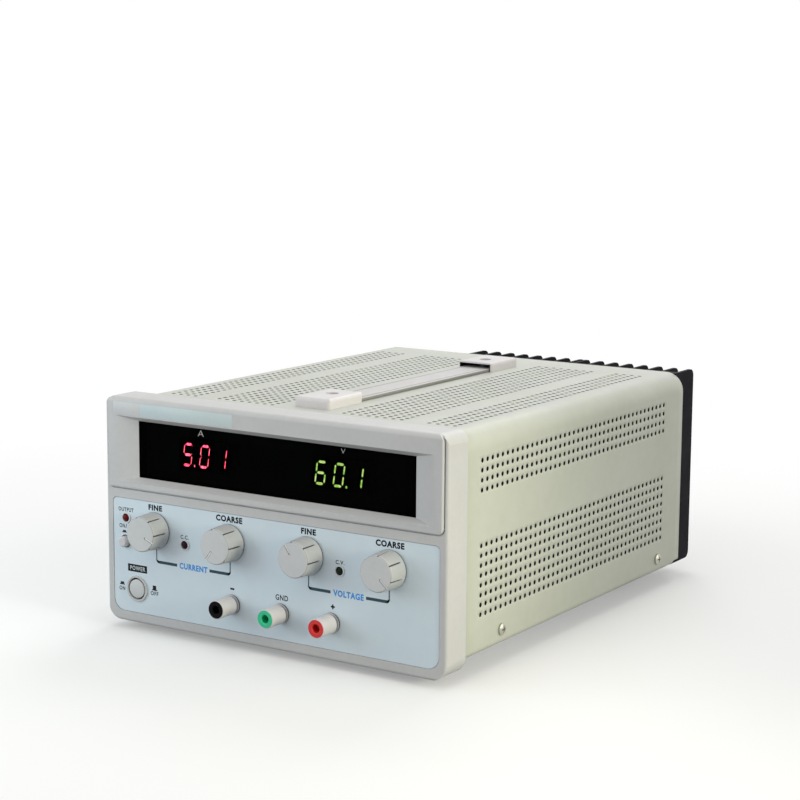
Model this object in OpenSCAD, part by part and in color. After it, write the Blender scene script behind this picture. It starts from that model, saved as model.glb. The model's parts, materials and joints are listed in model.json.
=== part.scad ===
// Bench power supply: moulded front with displays, knobs and terminals, perforated cover,
// strap handle, finned rear heat sink and the parts inside. All sizes are in millimetres.

/* [Bezel] */
// Width of the moulded front bezel
bezel_w = 259; // [256:1:275]
// Height of the bezel
bezel_h = 147.5; // [146:0.5:156]
// Depth of the bezel from its face to its rear rim
bezel_d = 22.5; // [22:0.5:27]
// Wall of the bezel behind the control panel
bezel_wall = 2.5; // [2:0.1:3]
// Radius of the bezel's upper corners
bezel_top_r = 8; // [6:0.5:11]
// Radius of the bezel's lower corners
bezel_low_r = 12; // [7:0.5:13]
// Radius of the bezel's front edges
bezel_edge_r = 2; // [1:0.1:2.4]
// How far the display section stands in front of the control section
raised_t = 1.5; // [0.8:0.1:2.5]
// Height of the display section's lower edge
raised_z = 88.2; // [86:0.1:89]
// Radius of the display section's upper front edge
brow_r = 3.2; // [2:0.1:4]
// Width of the groove round the display section
raised_groove_w = 0.8; // [0.4:0.1:0.9]
// Depth of the groove round the display section
raised_groove_depth = 1.2; // [0.5:0.1:1.5]

/* [Display] */
// Width of the glass that shows in the window
window_w = 210; // [196:1:212]
// Height of the glass that shows in the window
window_h = 36.6; // [32:0.2:37]
// Height of the window's centre
window_z = 113.7; // [113:0.1:114.5]
// Depth of the glass behind the bezel's face
window_depth = 4; // [3.5:0.1:5]
// Slope of the window's sides, from the glass out to the mouth
mouth_side = 15; // [8:0.5:15.5]
// Slope of the window's upper edge
mouth_top = 3.3; // [1:0.1:3.5]
// Slope of the window's sill
mouth_sill = 2.8; // [1:0.1:3]
// Thickness of the window pane
pane_t = 2.5; // [1.5:0.1:3]
// Width of one display digit
digit_w = 8.3; // [7:0.1:9]
// Height of one display digit
digit_h = 15.2; // [13:0.1:16]
// Distance between display digits
digit_pitch = 13.4; // [13:0.1:14]
// Distance from the centre to the current display
current_display_x = 54.9; // [50:0.1:60]
// Distance from the centre to the voltage display
voltage_display_x = 47.8; // [45:0.1:60]
// Depth of a display module
digit_module_d = 8; // [7:0.1:9]

/* [Control panel] */
// Width of the printed control panel
panel_w = 248; // [246:0.5:250]
// Height of the control panel
panel_h = 74.3; // [73:0.1:76]
// Height of the control panel's lower edge
panel_z = 7; // [6:0.1:8]
// Thickness of the control panel
panel_t = 0.8; // [0.5:0.1:1]
// Distance between the two knobs of a pair
knob_pitch = 59.6; // [57:0.1:62]
// Distance of the outer knobs from the bezel's sides
knob_side = 40.1; // [38:0.1:42]
// Height of the knobs
knob_z = 63.2; // [62:0.1:65]
// Diameter of a knob's front
knob_front_d = 22.5; // [20:0.1:23]
// Diameter of a knob's base
knob_base_d = 24; // [23.2:0.1:26]
// Length of a knob
knob_l = 14.7; // [13:0.1:15.5]
// Number of grooves round a knob
knob_grooves = 7; // [5:1:9]
// Diameter of the control shafts
shaft_d = 6; // [5:0.1:6.3]
// Diameter of a potentiometer
pot_d = 16.5; // [15:0.1:18]
// Length of a potentiometer's body
pot_l = 9; // [8:0.1:10]
// Diameter of a signal lamp
lamp_d = 5.2; // [4:0.1:5.3]
// Diameter of a lamp's collar
lamp_collar_d = 7.2; // [7.2:0.1:8.5]
// Distance of the output lamp from the bezel's left side
output_lamp_x = 16.2; // [15.5:0.1:17.5]
// Height of the output lamp
output_lamp_z = 68.7; // [67:0.1:69]
// Distance of the current lamp from the bezel's left side
current_lamp_x = 64.3; // [61.5:0.1:70.5]
// Distance of the voltage lamp from the bezel's right side
voltage_lamp_x = 75.9; // [69.5:0.1:77.5]
// Height of the current and voltage lamps
mode_lamp_z = 57; // [54:0.1:60]
// Diameter of the output button
output_button_d = 7; // [6.5:0.1:9]
// Distance of the output button from the bezel's left side
output_button_x = 15.2; // [14.5:0.1:16.5]
// Height of the output button
output_button_z = 53; // [50:0.1:54]
// Travel of the output button
output_button_travel = 2.5; // [1.5:0.1:2.5]
// Diameter of the power button
power_button_d = 12.2; // [11.5:0.1:14.5]
// Gap between the power button and its ring
power_button_gap = 1.1; // [0.4:0.1:1.3]
// Distance of the power button from the bezel's left side
power_button_x = 24.8; // [23.5:0.1:27.5]
// Height of the power button
power_button_z = 22.9; // [21:0.1:24]

/* [Terminals] */
// Distance between the output terminals
post_pitch = 37.8; // [30:0.1:40]
// Distance of the middle terminal right of the centre
post_x = 9.8; // [0:0.1:15]
// Height of the terminals
post_z = 24; // [22:0.1:27]
// Diameter of a terminal's collar
collar_d = 12; // [11.7:0.1:13]
// Length of a terminal's collar
collar_l = 13.9; // [12:0.1:15]
// Diameter of a terminal's stud
stud_d = 6; // [5.8:0.1:6.2]
// Diameter of the plug socket in a stud
socket_d = 4; // [3.9:0.1:4.2]
// Depth of the plug socket
socket_depth = 14.2; // [10:0.1:16]

/* [Case] */
// Distance from the bezel's face to the rear panel's back
case_l = 321.6; // [316:0.4:345]
// Thickness of the sheet metal
sheet = 1.2; // [1:0.1:1.4]
// Step from the bezel's side in to the cover
side_step = 2.5; // [2.2:0.1:3]
// Step from the bezel's top down to the cover
top_step = 2.8; // [2.5:0.1:3.4]
// Height of the cover's lower edge over the bezel's lower edge
cover_z = 7; // [6.6:0.1:8]
// Radius of the cover's upper bends
cover_r = 13; // [11:0.5:16]
// Radius of the cover's lower bends
lower_bend_r = 4.4; // [4:0.1:5]
// Width of the cover's lower flanges
flange_w = 14; // [10:0.5:18]
// How far the cover reaches into the bezel
cover_tuck = 4.5; // [3.5:0.1:5]
// Height of the tray's side walls
tray_h = 23.8; // [16:0.2:26]
// Distance from the bezel's face to the first cover screw
side_screw_y = 67.4; // [60:0.2:75]
// Distance between the cover screws of one side
side_screw_span = 218.2; // [200:0.2:220]
// Height of the cover screws
side_screw_z = 17.2; // [16.4:0.1:18]
// Diameter of the case's screws
screw_d = 4; // [3.5:0.1:4]
// Diameter of the screw heads
screw_head_d = 7.6; // [6.6:0.1:8]

/* [Vents] */
// Diameter of a vent hole
vent_d = 2.9; // [2:0.1:3.4]
// Distance between vent holes
vent_pitch = 6.05; // [5:0.05:6.1]
// Number of vent holes along a row
vent_count = 42; // [20:1:42]
// Distance from the bezel's face to the first vent holes
vent_y = 42.3; // [40:0.1:50]
// Rows in the upper group of each side
side_upper_rows = 4; // [2:1:5]
// Height of the upper group's top row
side_upper_z = 126; // [118:0.5:127]
// Rows in the lower group of each side
side_lower_rows = 8; // [4:1:8]
// Height of the lower group's top row
side_lower_z = 74; // [70:0.5:80]
// Rows in each group beside the handle
top_inner_rows = 8; // [4:1:8]
// Distance from the centre to the first row beside the handle
top_inner_x = 27.5; // [24:0.5:30]
// Rows in each group by the cover's upper bends
top_outer_rows = 4; // [2:1:4]
// Distance from the centre to the first row by the bends
top_outer_x = 89.5; // [86:0.5:90]

/* [Handle] */
// Width of a handle cap
cap_w = 27.5; // [26.5:0.5:32]
// Length of a handle cap
cap_l = 37.5; // [35:0.5:50]
// Height of a handle cap
cap_h = 6.5; // [6:0.1:8]
// Distance from the bezel's face to the front handle cap
cap_y = 46.5; // [36:0.5:50]
// Distance between the outer ends of the two handle caps
handle_l = 237; // [220:0.5:250]
// Width of the strap
strap_w = 23.5; // [22:0.1:23.6]
// Thickness of the strap
strap_t = 2; // [1.5:0.1:2.2]

/* [Heat sink] */
// Number of fins on each of the two extrusions
fin_count = 8; // [5:1:8]
// Distance between fins
fin_pitch = 11.9; // [10:0.1:12]
// Thickness of a fin
fin_t = 2.4; // [1.8:0.1:3]
// Length of a fin behind its base
fin_l = 23.4; // [15:0.2:30]
// Thickness of an extrusion's base
sink_base = 7; // [6:0.1:9]
// Height of the extrusions
sink_h = 139; // [130:0.5:139]
// Height of the extrusions' lower ends over the bezel's lower edge
sink_z = 5; // [4:0.1:6]
// Distance from the centre to the left extrusion's left edge
sink_x = 52.9; // [52:0.1:53.5]

/* [Feet] */
// Diameter of a foot
foot_d = 18; // [15:0.5:20]
// Distance from the centre to a foot
foot_x = 92; // [80:0.5:96]
// Distance from the bezel's face to the front feet
foot_y = 45; // [38:0.5:48]
// Distance between the front and rear feet
foot_span = 235; // [220:0.5:240]
// Height of the bezel's lower edge over the ground
foot_drop = 5; // [4:0.1:8]

/* [Inside] */
// Length of the transformer's laminations
core_l = 114; // [102:3:120]
// Thickness of the lamination stack
core_t = 55; // [45:1:58]
// Distance of the transformer left of the centre
core_x = 45; // [42:0.5:48]
// Distance from the bezel's face to the transformer
core_y = 50; // [46:0.5:56]
// Width of the main board
main_board_w = 90; // [80:0.5:91]
// Length of the main board
main_board_l = 180; // [170:0.5:190]
// Diameter of a smoothing capacitor
smoothing_d = 35; // [30:0.5:36]
// Height of a smoothing capacitor
smoothing_h = 50; // [40:0.5:55]
// Width of the mains inlet's flange
inlet_w = 50; // [48:0.5:52]
// Distance of the mains inlet left of the centre
inlet_x = 92; // [86:0.5:93]
// Height of the mains inlet's centre
inlet_z = 45; // [42:0.5:60]

/* [Hidden] */
knob_names = ["current_fine", "current_coarse", "voltage_fine", "voltage_coarse"];
post_names = ["minus", "earth", "plus"];
$fn = 48;

// Clearances
gap = 0.3;
running_gap = 0.05;
press_gap = 0.02;
over = 1;

// Colours
light_grey = [0.80, 0.80, 0.78];
pale_blue = [0.74, 0.82, 0.84];
knob_grey = [0.75, 0.75, 0.73];
ivory = [0.88, 0.86, 0.80];
olive_paint = [0.74, 0.74, 0.64];
anodised_black = [0.15, 0.15, 0.16];
dark_plastic = [0.12, 0.12, 0.13];
bare_steel = [0.70, 0.71, 0.73];
board_green = [0.16, 0.40, 0.24];
copper = [0.72, 0.42, 0.24];
post_colours = [dark_plastic, [0.10, 0.62, 0.42], [0.85, 0.16, 0.14]];

// Control panel and what lies behind it, as distances behind the bezel's face
panel_recess = 0.3;
panel_back = panel_recess + panel_t;
wall_back = panel_back + bezel_wall;
boss_l = 3.4;
plate_y = wall_back + boss_l;
plate_back = plate_y + sheet;
pot_back = plate_back + pot_l;
board_t = 1.6;
control_board_y = pot_back + gap;
control_board_back = control_board_y + board_t;

// Bezel
bezel_side_t = 5.1;
bezel_roof_t = 5.1;
bezel_floor_t = 4;
rim_r = 1.6;
raised_inset = 2.9;
raised_edge_r = 1.2;
raised_low_r = 4;
raised_w = bezel_w - 2 * raised_inset;
cavity_w = bezel_w - 2 * bezel_side_t;
cavity_top = bezel_h - bezel_roof_t;
cavity_r = 8;
surround_z = raised_z - 2;

// Window pane and displays
pane_lip = 2;
pane_w = window_w + 2 * pane_lip;
pane_h = window_h + 2 * pane_lip;
pane_back = window_depth + pane_t;
display_y = pane_back + 0.7;
display_board_y = display_y + digit_module_d;
post_pin_d = 5;
display_post_z = pane_h / 2 + gap + post_pin_d / 2 + 0.2;
display_post_x = pane_w / 2 - 3;
display_board_w = pane_w + 2;
display_board_h = 2 * display_post_z + 5.4;
digits = 3;
module_margin = 4.3;
digit_module_w = digits * digit_pitch;
digit_module_h = digit_h + module_margin;
segment_t = 1.7;
segment_depth = 0.4;
digit_slant = 8;
digit_gap = 0.35;
dot_d = 1.9;

// Front plate
plate_w = cavity_w - 6.8;
plate_top = surround_z - 0.2;
plate_flange = 28;
plate_screw_x = plate_w / 2 - 5;
plate_screw_low = 13.5;
plate_screw_high = plate_top - 6;
plate_boss_d = 8;
plate_screw_d = 2.9;
control_board_w = plate_w - 6;
control_board_z = post_z + 14;
control_board_h = plate_top - 2 - control_board_z;

// Knobs and potentiometers
knob_gap = panel_recess;
outer_knob_x = bezel_w / 2 - knob_side;
knob_x = [-outer_knob_x, knob_pitch - outer_knob_x, outer_knob_x - knob_pitch, outer_knob_x];
pointer_turn = [-24, -128, 124, -45];
knob_front = knob_gap + knob_l;
knob_wall = 1.7;
knob_roof = 2.4;
hub_d = shaft_d + 6;
groove_w = 0.9;
groove_depth = 0.5;
rim_chamfer = 0.8;
knob_ring = 3.6;
pointer_w = 1.2;
pointer_depth = 0.5;
pointer_start = 4;
bushing_d = shaft_d + 1.2;
shaft_front = knob_front - 3.5;
flat_depth = 1.5;
pot_nut_t = 2;
pot_nut_w = bushing_d + 3.6;

// Lamps, collars and buttons
lamp_tip = 1.6;
lamp_foot_d = lamp_d + 0.9;
lamp_foot_y = 5.2;
lamp_foot_t = 1;
lead_d = 0.6;
lead_pitch = 2.54;
lamp_collar_bore = lamp_d + 0.2;
lamp_barrel_d = lamp_collar_bore + 1.3;
lamp_hole_d = lamp_barrel_d + 0.2;
output_button_front = 3.4;
output_button_back = 5;
output_hole_d = output_button_d + 1.6;
stem_d = 3;
stem_gap = 0.2;
output_stem_end = plate_back + 0.4;
output_switch_w = 12;
power_button_front = 1.2;
power_button_back = 5.5;
power_stem_d = 5;
power_stem_end = plate_back + 3.8;
ring_bore = power_button_d + 2 * power_button_gap;
ring_barrel_d = ring_bore + 1.2;
ring_flange_d = ring_barrel_d + 1.2;
ring_front = 0.9;
power_switch_w = 14;
power_switch_l = 30;
power_switch_back = plate_back + power_switch_l;
power_tag_w = 3;
power_tag_l = 8;

// Terminals
post_xs = [for (i = [-1:1]) post_x + i * post_pitch];
base_d = collar_d + 0.6;
base_front = 0.9;
spigot_d = stud_d + 2;
spigot_hole_d = spigot_d + 2 * gap;
washer_back = base_front + gap;
washer_t = 0.8;
washer_front = washer_back + washer_t;
washer_d = collar_d - 0.4;
collar_back = washer_front + gap;
collar_front = collar_back + collar_l;
insert_proud = 0.4;
insert_front = collar_front + insert_proud;
collar_wall = 0.6;
insert_d = collar_d - 2 * collar_wall;
insert_bore = socket_d + 1;
stud_front = 10.2;
insert_back = stud_front + 0.2;
collar_bore = stud_d + 0.16;
insulator_t = 1.6;
post_nut_t = 2.8;
lug_t = 0.6;
lug_w = 5;
lug_reach = 12;
post_nut_w = stud_d + 5.4;
insulator_back = plate_back + insulator_t;
lug_y = insulator_back + post_nut_t;
stud_back = lug_y + lug_t + post_nut_t + 3.4;

// Cover
cover_w = bezel_w - 2 * side_step;
cover_top = bezel_h - top_step;
cover_y = bezel_d - cover_tuck;
cover_end = case_l - gap;
cover_stop = cover_y - gap;
notch_l = 7.3;
notch_h = 3.4;
side_rows = concat(
    [for (k = [0:side_upper_rows - 1]) side_upper_z - k * vent_pitch],
    [for (k = [0:side_lower_rows - 1]) side_lower_z - k * vent_pitch]
);
top_rows = concat(
    [for (k = [0:top_inner_rows - 1]) top_inner_x + k * vent_pitch],
    [for (k = [0:top_outer_rows - 1]) top_outer_x + k * vent_pitch]
);
screw_hole_d = screw_d + 0.4;
screw_head_h = 2.3;
side_screws_y = [side_screw_y, side_screw_y + side_screw_span];

// Tray, panels and standoffs
tray_gap = 0.4;
tray_z = cover_z + sheet;
floor_z = tray_z + sheet;
tray_w = cover_w - 2 * sheet - 2 * tray_gap;
tray_top = tray_z + tray_h;
tray_r = lower_bend_r - sheet - 0.2;
tray_y = cover_y + 1;
tray_end = case_l - sheet - 0.2;
rear_panel_y = case_l - sheet;
rear_panel_top = cover_top - sheet - tray_gap;
rear_panel_r = cover_r - sheet - tray_gap;
rear_flange = 14;
rear_side_flange = 12;
standoff_d = 7;
standoff_h = 10.6;
main_board_z = floor_z + standoff_h;
main_board_rear_space = 71.6;
main_board_y = case_l - main_board_rear_space - main_board_l;
main_board_x = cavity_w / 2 - 4.4 - main_board_w;
standoff_inset = 6;
standoff_spots = [
    for (x = [standoff_inset, main_board_w - standoff_inset])
        for (y = [standoff_inset, main_board_l / 2, main_board_l - standoff_inset])
            [main_board_x + x, main_board_y + y]
];

capacitor_y = 36;
relay_w = 16;
relay_l = 20;
relay_h = 16;
relay_pitch = 22;
relay_rear_space = 40;
rectifier_w = 28.5;
rectifier_h = 11;
rectifier_bore = 5;
rectifier_space = 30;
rectifier_tag_l = 12;
rectifier_tag_w = 6;
rectifier_tag_t = 0.8;
rectifier_tag_pitch = 18;

// Handle
cap_r = 2.5;
cap_wall = 3;
cap_roof = 1.3;
cap_screw_y = 22.5;
cap_boss_d = screw_head_d + 2.9;
cap_recess_d = screw_head_d + 0.9;
cap_seat = 3;
slot_side_gap = 0.55;
strap_lift = gap;
strap_end = 6;
strap_slot_w = cap_boss_d + 1;
strap_slot_front = 5;
strap_slot_back = 6.3;
cap_ends_y = [cap_y, cap_y + handle_l];
cap_screws_y = [cap_y + cap_screw_y, cap_y + handle_l - cap_screw_y];

// Heat sink
sink_w = (fin_count - 1) * fin_pitch + fin_t;
sink_gap = 2.3;
sink_back = case_l + sink_base + fin_l;
sink_xs = [-sink_x, -sink_x + sink_w + sink_gap];
sink_r = 5;
sink_screw_inset = 12;
sink_screw_depth = 5;
sink_screw_zs = [sink_z + 20, sink_z + sink_h - 20];
transistor_w = 15.6;
transistor_h = 20;
transistor_t = 4.8;
transistor_pitch = 19;
transistor_z = 70;
transistor_window_h = 60;

// Inlet
inlet_h = 33;
inlet_flange_t = 3;
inlet_body_w = 27.2;
inlet_body_h = 31;
inlet_depth = 25;
inlet_screw_x = 20;
socket_w = 24.2;
socket_h = 16.6;
socket_l = 16;
socket_z = inlet_z - inlet_body_h / 2 + 1.5;
socket_chamfer = 4;
pin_w = 2;
pin_h = 4;
pin_pitch = 7;
pin_z = socket_z + 7.2;
earth_pin_z = pin_z + 4;
pin_gap = 0.05;
drawer_w = 24;
drawer_h = 10;
drawer_z = inlet_z + inlet_body_h / 2 - drawer_h - 1.4;
drawer_l = 24;
drawer_lip = 1.2;
drawer_y = case_l + inlet_flange_t + drawer_lip - drawer_l;
fuse_d = 5;
fuse_l = 20;
fuse_gap = 0.2;
fuse_cap_l = 5;
fuse_y = drawer_y + 12;

// Transformer: the laminations share one unit, a sixth of their length
core_unit = core_l / 6;
core_h = 5 * core_unit;
bracket_t = 2;
core_z = floor_z + bracket_t;
coil_gap = 0.5;
coil_t = core_unit - 2 * coil_gap;
coil_r = 12;
bracket_l = 12;
bolt_d = 5;

// Height of the whole and the place of its centre
foot_h = tray_z + foot_drop;
foot_seat = 5;
total_d = insert_front + sink_back;
face_y = insert_front - total_d / 2;

// The whole stands on the ground with its middle at the origin
module placed() translate([0, face_y, foot_drop]) children();

// An outline of X and Z, extruded along Y
module slab(y0, y1) translate([0, y1, 0]) rotate([90, 0, 0]) linear_extrude(y1 - y0) children();

// An outline of Y and Z, extruded along X
module across(x0, x1) translate([x0, 0, 0]) rotate([90, 0, 90]) linear_extrude(x1 - x0) children();

// A profile of radius and Y, turned round the Y axis
module turned() rotate([-90, 0, 0]) rotate_extrude($fn = 64) children();

// A round bar along Y
module rod(d, y0, y1) translate([0, y0, 0]) rotate([-90, 0, 0]) cylinder(d = d, h = y1 - y0);

// A tube along Y
module tube(d, bore, y0, y1) difference() {
    rod(d, y0, y1);
    rod(bore, y0 - over, y1 + over);
}

// A hexagon nut along Y
module nut(across_flats, bore, y0, y1) difference() {
    translate([0, y0, 0]) rotate([-90, 0, 0])
        cylinder(d = across_flats / cos(30), h = y1 - y0, $fn = 6);
    rod(bore, y0 - over, y1 + over);
}

// A box from one corner to the opposite one
module block(a, b) translate(a) cube(b - a);

// A rectangle with a radius of its own at each corner: low-low, high-low, high-high, low-high
module soft_rect(a, b, r) {
    polygon([
        [a.x + r[0], a.y], [b.x - r[1], a.y], [b.x, a.y + r[1]], [b.x, b.y - r[2]],
        [b.x - r[2], b.y], [a.x + r[3], b.y], [a.x, b.y - r[3]], [a.x, a.y + r[0]]
    ]);
    centres = [
        [a.x + r[0], a.y + r[0]], [b.x - r[1], a.y + r[1]],
        [b.x - r[2], b.y - r[2]], [a.x + r[3], b.y - r[3]]
    ];
    for (i = [0:3]) if (r[i] > 0) translate(centres[i]) circle(r[i]);
}

// A pan-head screw with a cross recess: its seat at the origin, its head towards +Z
module pan_screw(shank_l, d = screw_d, head_d = screw_head_d) {
    cross_l = head_d * 0.55;
    cross_w = 0.9;
    cross_depth = 1.3;
    difference() {
        union() {
            intersection() {
                cylinder(d = head_d, h = screw_head_h);
                translate([0, 0, screw_head_h - head_d]) sphere(head_d);
            }
            translate([0, 0, -shank_l]) cylinder(d = d, h = shank_l + screw_head_h / 2);
        }
        for (turn = [0, 90]) rotate(turn)
            translate([-cross_l / 2, -cross_w / 2, screw_head_h - cross_depth])
                cube([cross_l, cross_w, cross_depth + over]);
    }
}

// Front bezel
module bezel_block() intersection() {
    slab(0, bezel_d)
        soft_rect([-bezel_w / 2, 0], [bezel_w / 2, bezel_h],
            [bezel_low_r, bezel_low_r, bezel_top_r, bezel_top_r]);
    linear_extrude(bezel_h)
        soft_rect([-bezel_w / 2, 0], [bezel_w / 2, bezel_d],
            [bezel_edge_r, bezel_edge_r, rim_r, rim_r]);
    across(-bezel_w / 2, bezel_w / 2)
        soft_rect([0, 0], [bezel_d, bezel_h], [bezel_edge_r, rim_r, rim_r, bezel_edge_r]);
}

module raised_block() {
    back = bezel_edge_r + 2;
    intersection() {
        slab(-raised_t, back) raised_outline();
        linear_extrude(bezel_h)
            soft_rect([-raised_w / 2, -raised_t], [raised_w / 2, back],
                [raised_edge_r, raised_edge_r, 0, 0]);
        across(-raised_w / 2, raised_w / 2)
            soft_rect([-raised_t, raised_z], [back, bezel_h], [raised_edge_r, 0, 0, brow_r]);
    }
}

// The display section seen from the front, grown by a margin
module raised_outline(grow = 0) {
    low_r = raised_low_r + grow;
    top_r = bezel_top_r - raised_inset + grow;
    soft_rect([-raised_w / 2 - grow, raised_z - grow], [raised_w / 2 + grow, bezel_h + grow],
        [low_r, low_r, top_r, top_r]);
}

module raised_groove() slab(-over, raised_groove_depth) difference() {
    raised_outline(raised_groove_w);
    raised_outline();
}

module bezel_cavity() {
    slab(wall_back, cover_y)
        soft_rect([-cavity_w / 2, bezel_floor_t], [cavity_w / 2, surround_z],
            [cavity_r, cavity_r, 0, 0]);
    slab(pane_back, cover_y)
        soft_rect([-cavity_w / 2, bezel_floor_t], [cavity_w / 2, cavity_top],
            [cavity_r, cavity_r, cavity_r, cavity_r]);
    slab(cover_stop, bezel_d + over) cover_outline(gap);
}

module window_opening() {
    low = window_z - window_h / 2;
    high = window_z + window_h / 2;
    half = window_w / 2;
    front = -raised_t - over;
    intersection() {
        translate([0, 0, raised_z]) linear_extrude(bezel_h - raised_z) polygon([
            [-half - mouth_side, front], [half + mouth_side, front],
            [half + mouth_side, -raised_t], [half, window_depth], [half, window_depth + over],
            [-half, window_depth + over], [-half, window_depth], [-half - mouth_side, -raised_t]
        ]);
        across(-half - mouth_side, half + mouth_side) polygon([
            [front, low - mouth_sill], [-raised_t, low - mouth_sill], [window_depth, low],
            [window_depth + over, low], [window_depth + over, high], [window_depth, high],
            [-raised_t, high + mouth_top], [front, high + mouth_top]
        ]);
    }
    block([-pane_w / 2 - gap, window_depth, window_z - pane_h / 2 - gap],
        [pane_w / 2 + gap, pane_back + over, window_z + pane_h / 2 + gap]);
}

// Every hole that the controls need, from y0 to y1: the same in the panel and the bezel
module control_holes(y0, y1) {
    for (x = knob_x) translate([x, 0, knob_z]) rod(bushing_d + 2 * gap, y0, y1);
    for (spot = lamp_spots()) translate([spot.x, 0, spot.y]) rod(lamp_hole_d, y0, y1);
    for (x = post_xs) translate([x, 0, post_z]) rod(spigot_hole_d, y0, y1);
    at_output_button() rod(output_hole_d, y0, y1);
    at_power_button() rod(ring_barrel_d + 0.2, y0, y1);
}

module at_output_button() translate([output_button_x - bezel_w / 2, 0, output_button_z]) children();

module at_power_button() translate([power_button_x - bezel_w / 2, 0, power_button_z]) children();

function lamp_spots() = [
    [output_lamp_x - bezel_w / 2, output_lamp_z], [current_lamp_x - bezel_w / 2, mode_lamp_z],
    [bezel_w / 2 - voltage_lamp_x, mode_lamp_z]
];

module plate_bosses() {
    for (x = [-1, 1] * plate_screw_x) for (z = [plate_screw_low, plate_screw_high])
        translate([x, 0, z]) tube(plate_boss_d, plate_screw_d, wall_back - 0.5, plate_y);
}

module display_posts() {
    for (x = [-1, 1] * display_post_x) for (z = [-1, 1] * display_post_z)
        translate([x, 0, window_z + z]) tube(post_pin_d, plate_screw_d, pane_back - 0.5, display_board_y);
}

module front_bezel() color(light_grey) placed() {
    difference() {
        union() {
            bezel_block();
            raised_block();
        }
        raised_groove();
        bezel_cavity();
        window_opening();
        slab(-over, panel_back) panel_outline(gap);
        control_holes(0, wall_back + over);
    }
    plate_bosses();
    display_posts();
}

module panel_outline(grow = 0) {
    upper_r = 3;
    lower_r = 8;
    soft_rect([-panel_w / 2 - grow, panel_z - grow], [panel_w / 2 + grow, panel_z + panel_h + grow],
        [lower_r, lower_r, upper_r, upper_r]);
}

module control_panel() color(pale_blue) placed() difference() {
    slab(panel_recess, panel_back) panel_outline();
    control_holes(panel_recess - over, panel_back + over);
}

module display_window() color(dark_plastic) placed()
    block([-pane_w / 2, window_depth, window_z - pane_h / 2],
        [pane_w / 2, pane_back, window_z + pane_h / 2]);

// One segment of a digit: a bar with pointed ends, centred, of length l
module segment(l) {
    t = segment_t / 2;
    h = l / 2 - digit_gap;
    polygon([[-h, 0], [-h + t, t], [h - t, t], [h, 0], [h - t, -t], [-h + t, -t]]);
}

// A slanted seven-segment digit with its dot, drawn in X and Z round its centre
module digit() {
    w = digit_w - segment_t;
    h = digit_h - segment_t;
    multmatrix([[1, tan(digit_slant), 0, 0], [0, 1, 0, 0], [0, 0, 1, 0]]) {
        for (z = [-1, 0, 1] * h / 2) translate([0, z]) segment(w);
        for (x = [-1, 1] * w / 2) for (z = [-1, 1] * h / 4) translate([x, z]) rotate(90) segment(h / 2);
    }
    translate([digit_w / 2 + 1.2, -h / 2]) circle(d = dot_d);
}

module digit_module(x) color(dark_plastic) placed() translate([x, 0, window_z]) difference() {
    block([-digit_module_w / 2, display_y, -digit_module_h / 2],
        [digit_module_w / 2, display_board_y, digit_module_h / 2]);
    for (i = [0:digits - 1]) translate([(i - (digits - 1) / 2) * digit_pitch, 0, 0])
        slab(display_y - over, display_y + segment_depth) digit();
}

module current_display() digit_module(-current_display_x);

module voltage_display() digit_module(voltage_display_x);

module display_board() color(board_green) placed() difference() {
    block([-display_board_w / 2, display_board_y, window_z - display_board_h / 2],
        [display_board_w / 2, display_board_y + board_t, window_z + display_board_h / 2]);
    for (x = [-1, 1] * display_post_x) for (z = [-1, 1] * display_post_z)
        translate([x, 0, window_z + z]) rod(plate_screw_d + 0.4, 0, bezel_d);
}

// Front plate and what it carries
module front_plate() color(bare_steel) placed() difference() {
    union() {
        block([-plate_w / 2, plate_y, floor_z], [plate_w / 2, plate_back, plate_top]);
        block([-plate_w / 2, plate_y, floor_z],
            [plate_w / 2, plate_back + plate_flange, floor_z + sheet]);
    }
    for (x = knob_x) translate([x, 0, knob_z]) rod(bushing_d + 0.2, 0, bezel_d);
    for (spot = lamp_spots()) translate([spot.x, 0, spot.y]) rod(lamp_foot_d + 0.4, 0, bezel_d);
    for (x = post_xs) translate([x, 0, post_z]) rod(spigot_hole_d, 0, bezel_d);
    at_output_button() rod(output_button_d + 2 * gap, 0, bezel_d);
    at_power_button() rod(power_stem_d + 2 * gap, 0, bezel_d);
    for (x = [-1, 1] * plate_screw_x) for (z = [plate_screw_low, plate_screw_high])
        translate([x, 0, z]) rod(plate_screw_d + 0.4, 0, bezel_d);
}

module control_board() color(board_green) placed()
    block([-control_board_w / 2, control_board_y, control_board_z],
        [control_board_w / 2, control_board_back, control_board_z + control_board_h]);

// A control knob round the Y axis, its pointer towards +X
module knob_shape() {
    front_r = knob_front_d / 2;
    base_r = knob_base_d / 2;
    hollow_front = knob_front - knob_roof;
    difference() {
        turned() polygon([
            [0, -knob_front], [front_r - rim_chamfer, -knob_front],
            [front_r, -knob_front + rim_chamfer], [base_r, -knob_gap], [0, -knob_gap]
        ]);
        difference() {
            turned() polygon([
                [0, -hollow_front], [front_r - knob_wall, -hollow_front],
                [base_r - knob_wall, -knob_gap + over], [0, -knob_gap + over]
            ]);
            rod(hub_d, -knob_front, -knob_gap);
        }
        difference() {
            rod(shaft_d + 2 * press_gap, -shaft_front - 0.3, 0);
            block([-shaft_d, -shaft_front - over, shaft_d / 2 - flat_depth + press_gap],
                [shaft_d, over, shaft_d]);
        }
        for (i = [0:knob_grooves - 1]) rotate([0, (i + 0.5) * 360 / knob_grooves, 0])
            block([front_r - groove_depth, -knob_front - over, -groove_w / 2],
                [base_r + over, -knob_gap - knob_ring, groove_w / 2]);
        block([pointer_start, -knob_front - over, -pointer_w / 2],
            [front_r + over, -knob_front + pointer_depth, pointer_w / 2]);
    }
}

module shaft_shape() difference() {
    rod(shaft_d, -shaft_front, pot_back - 0.7);
    block([-shaft_d, -shaft_front - over, shaft_d / 2 - flat_depth], [shaft_d, -knob_gap, shaft_d]);
}

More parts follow.
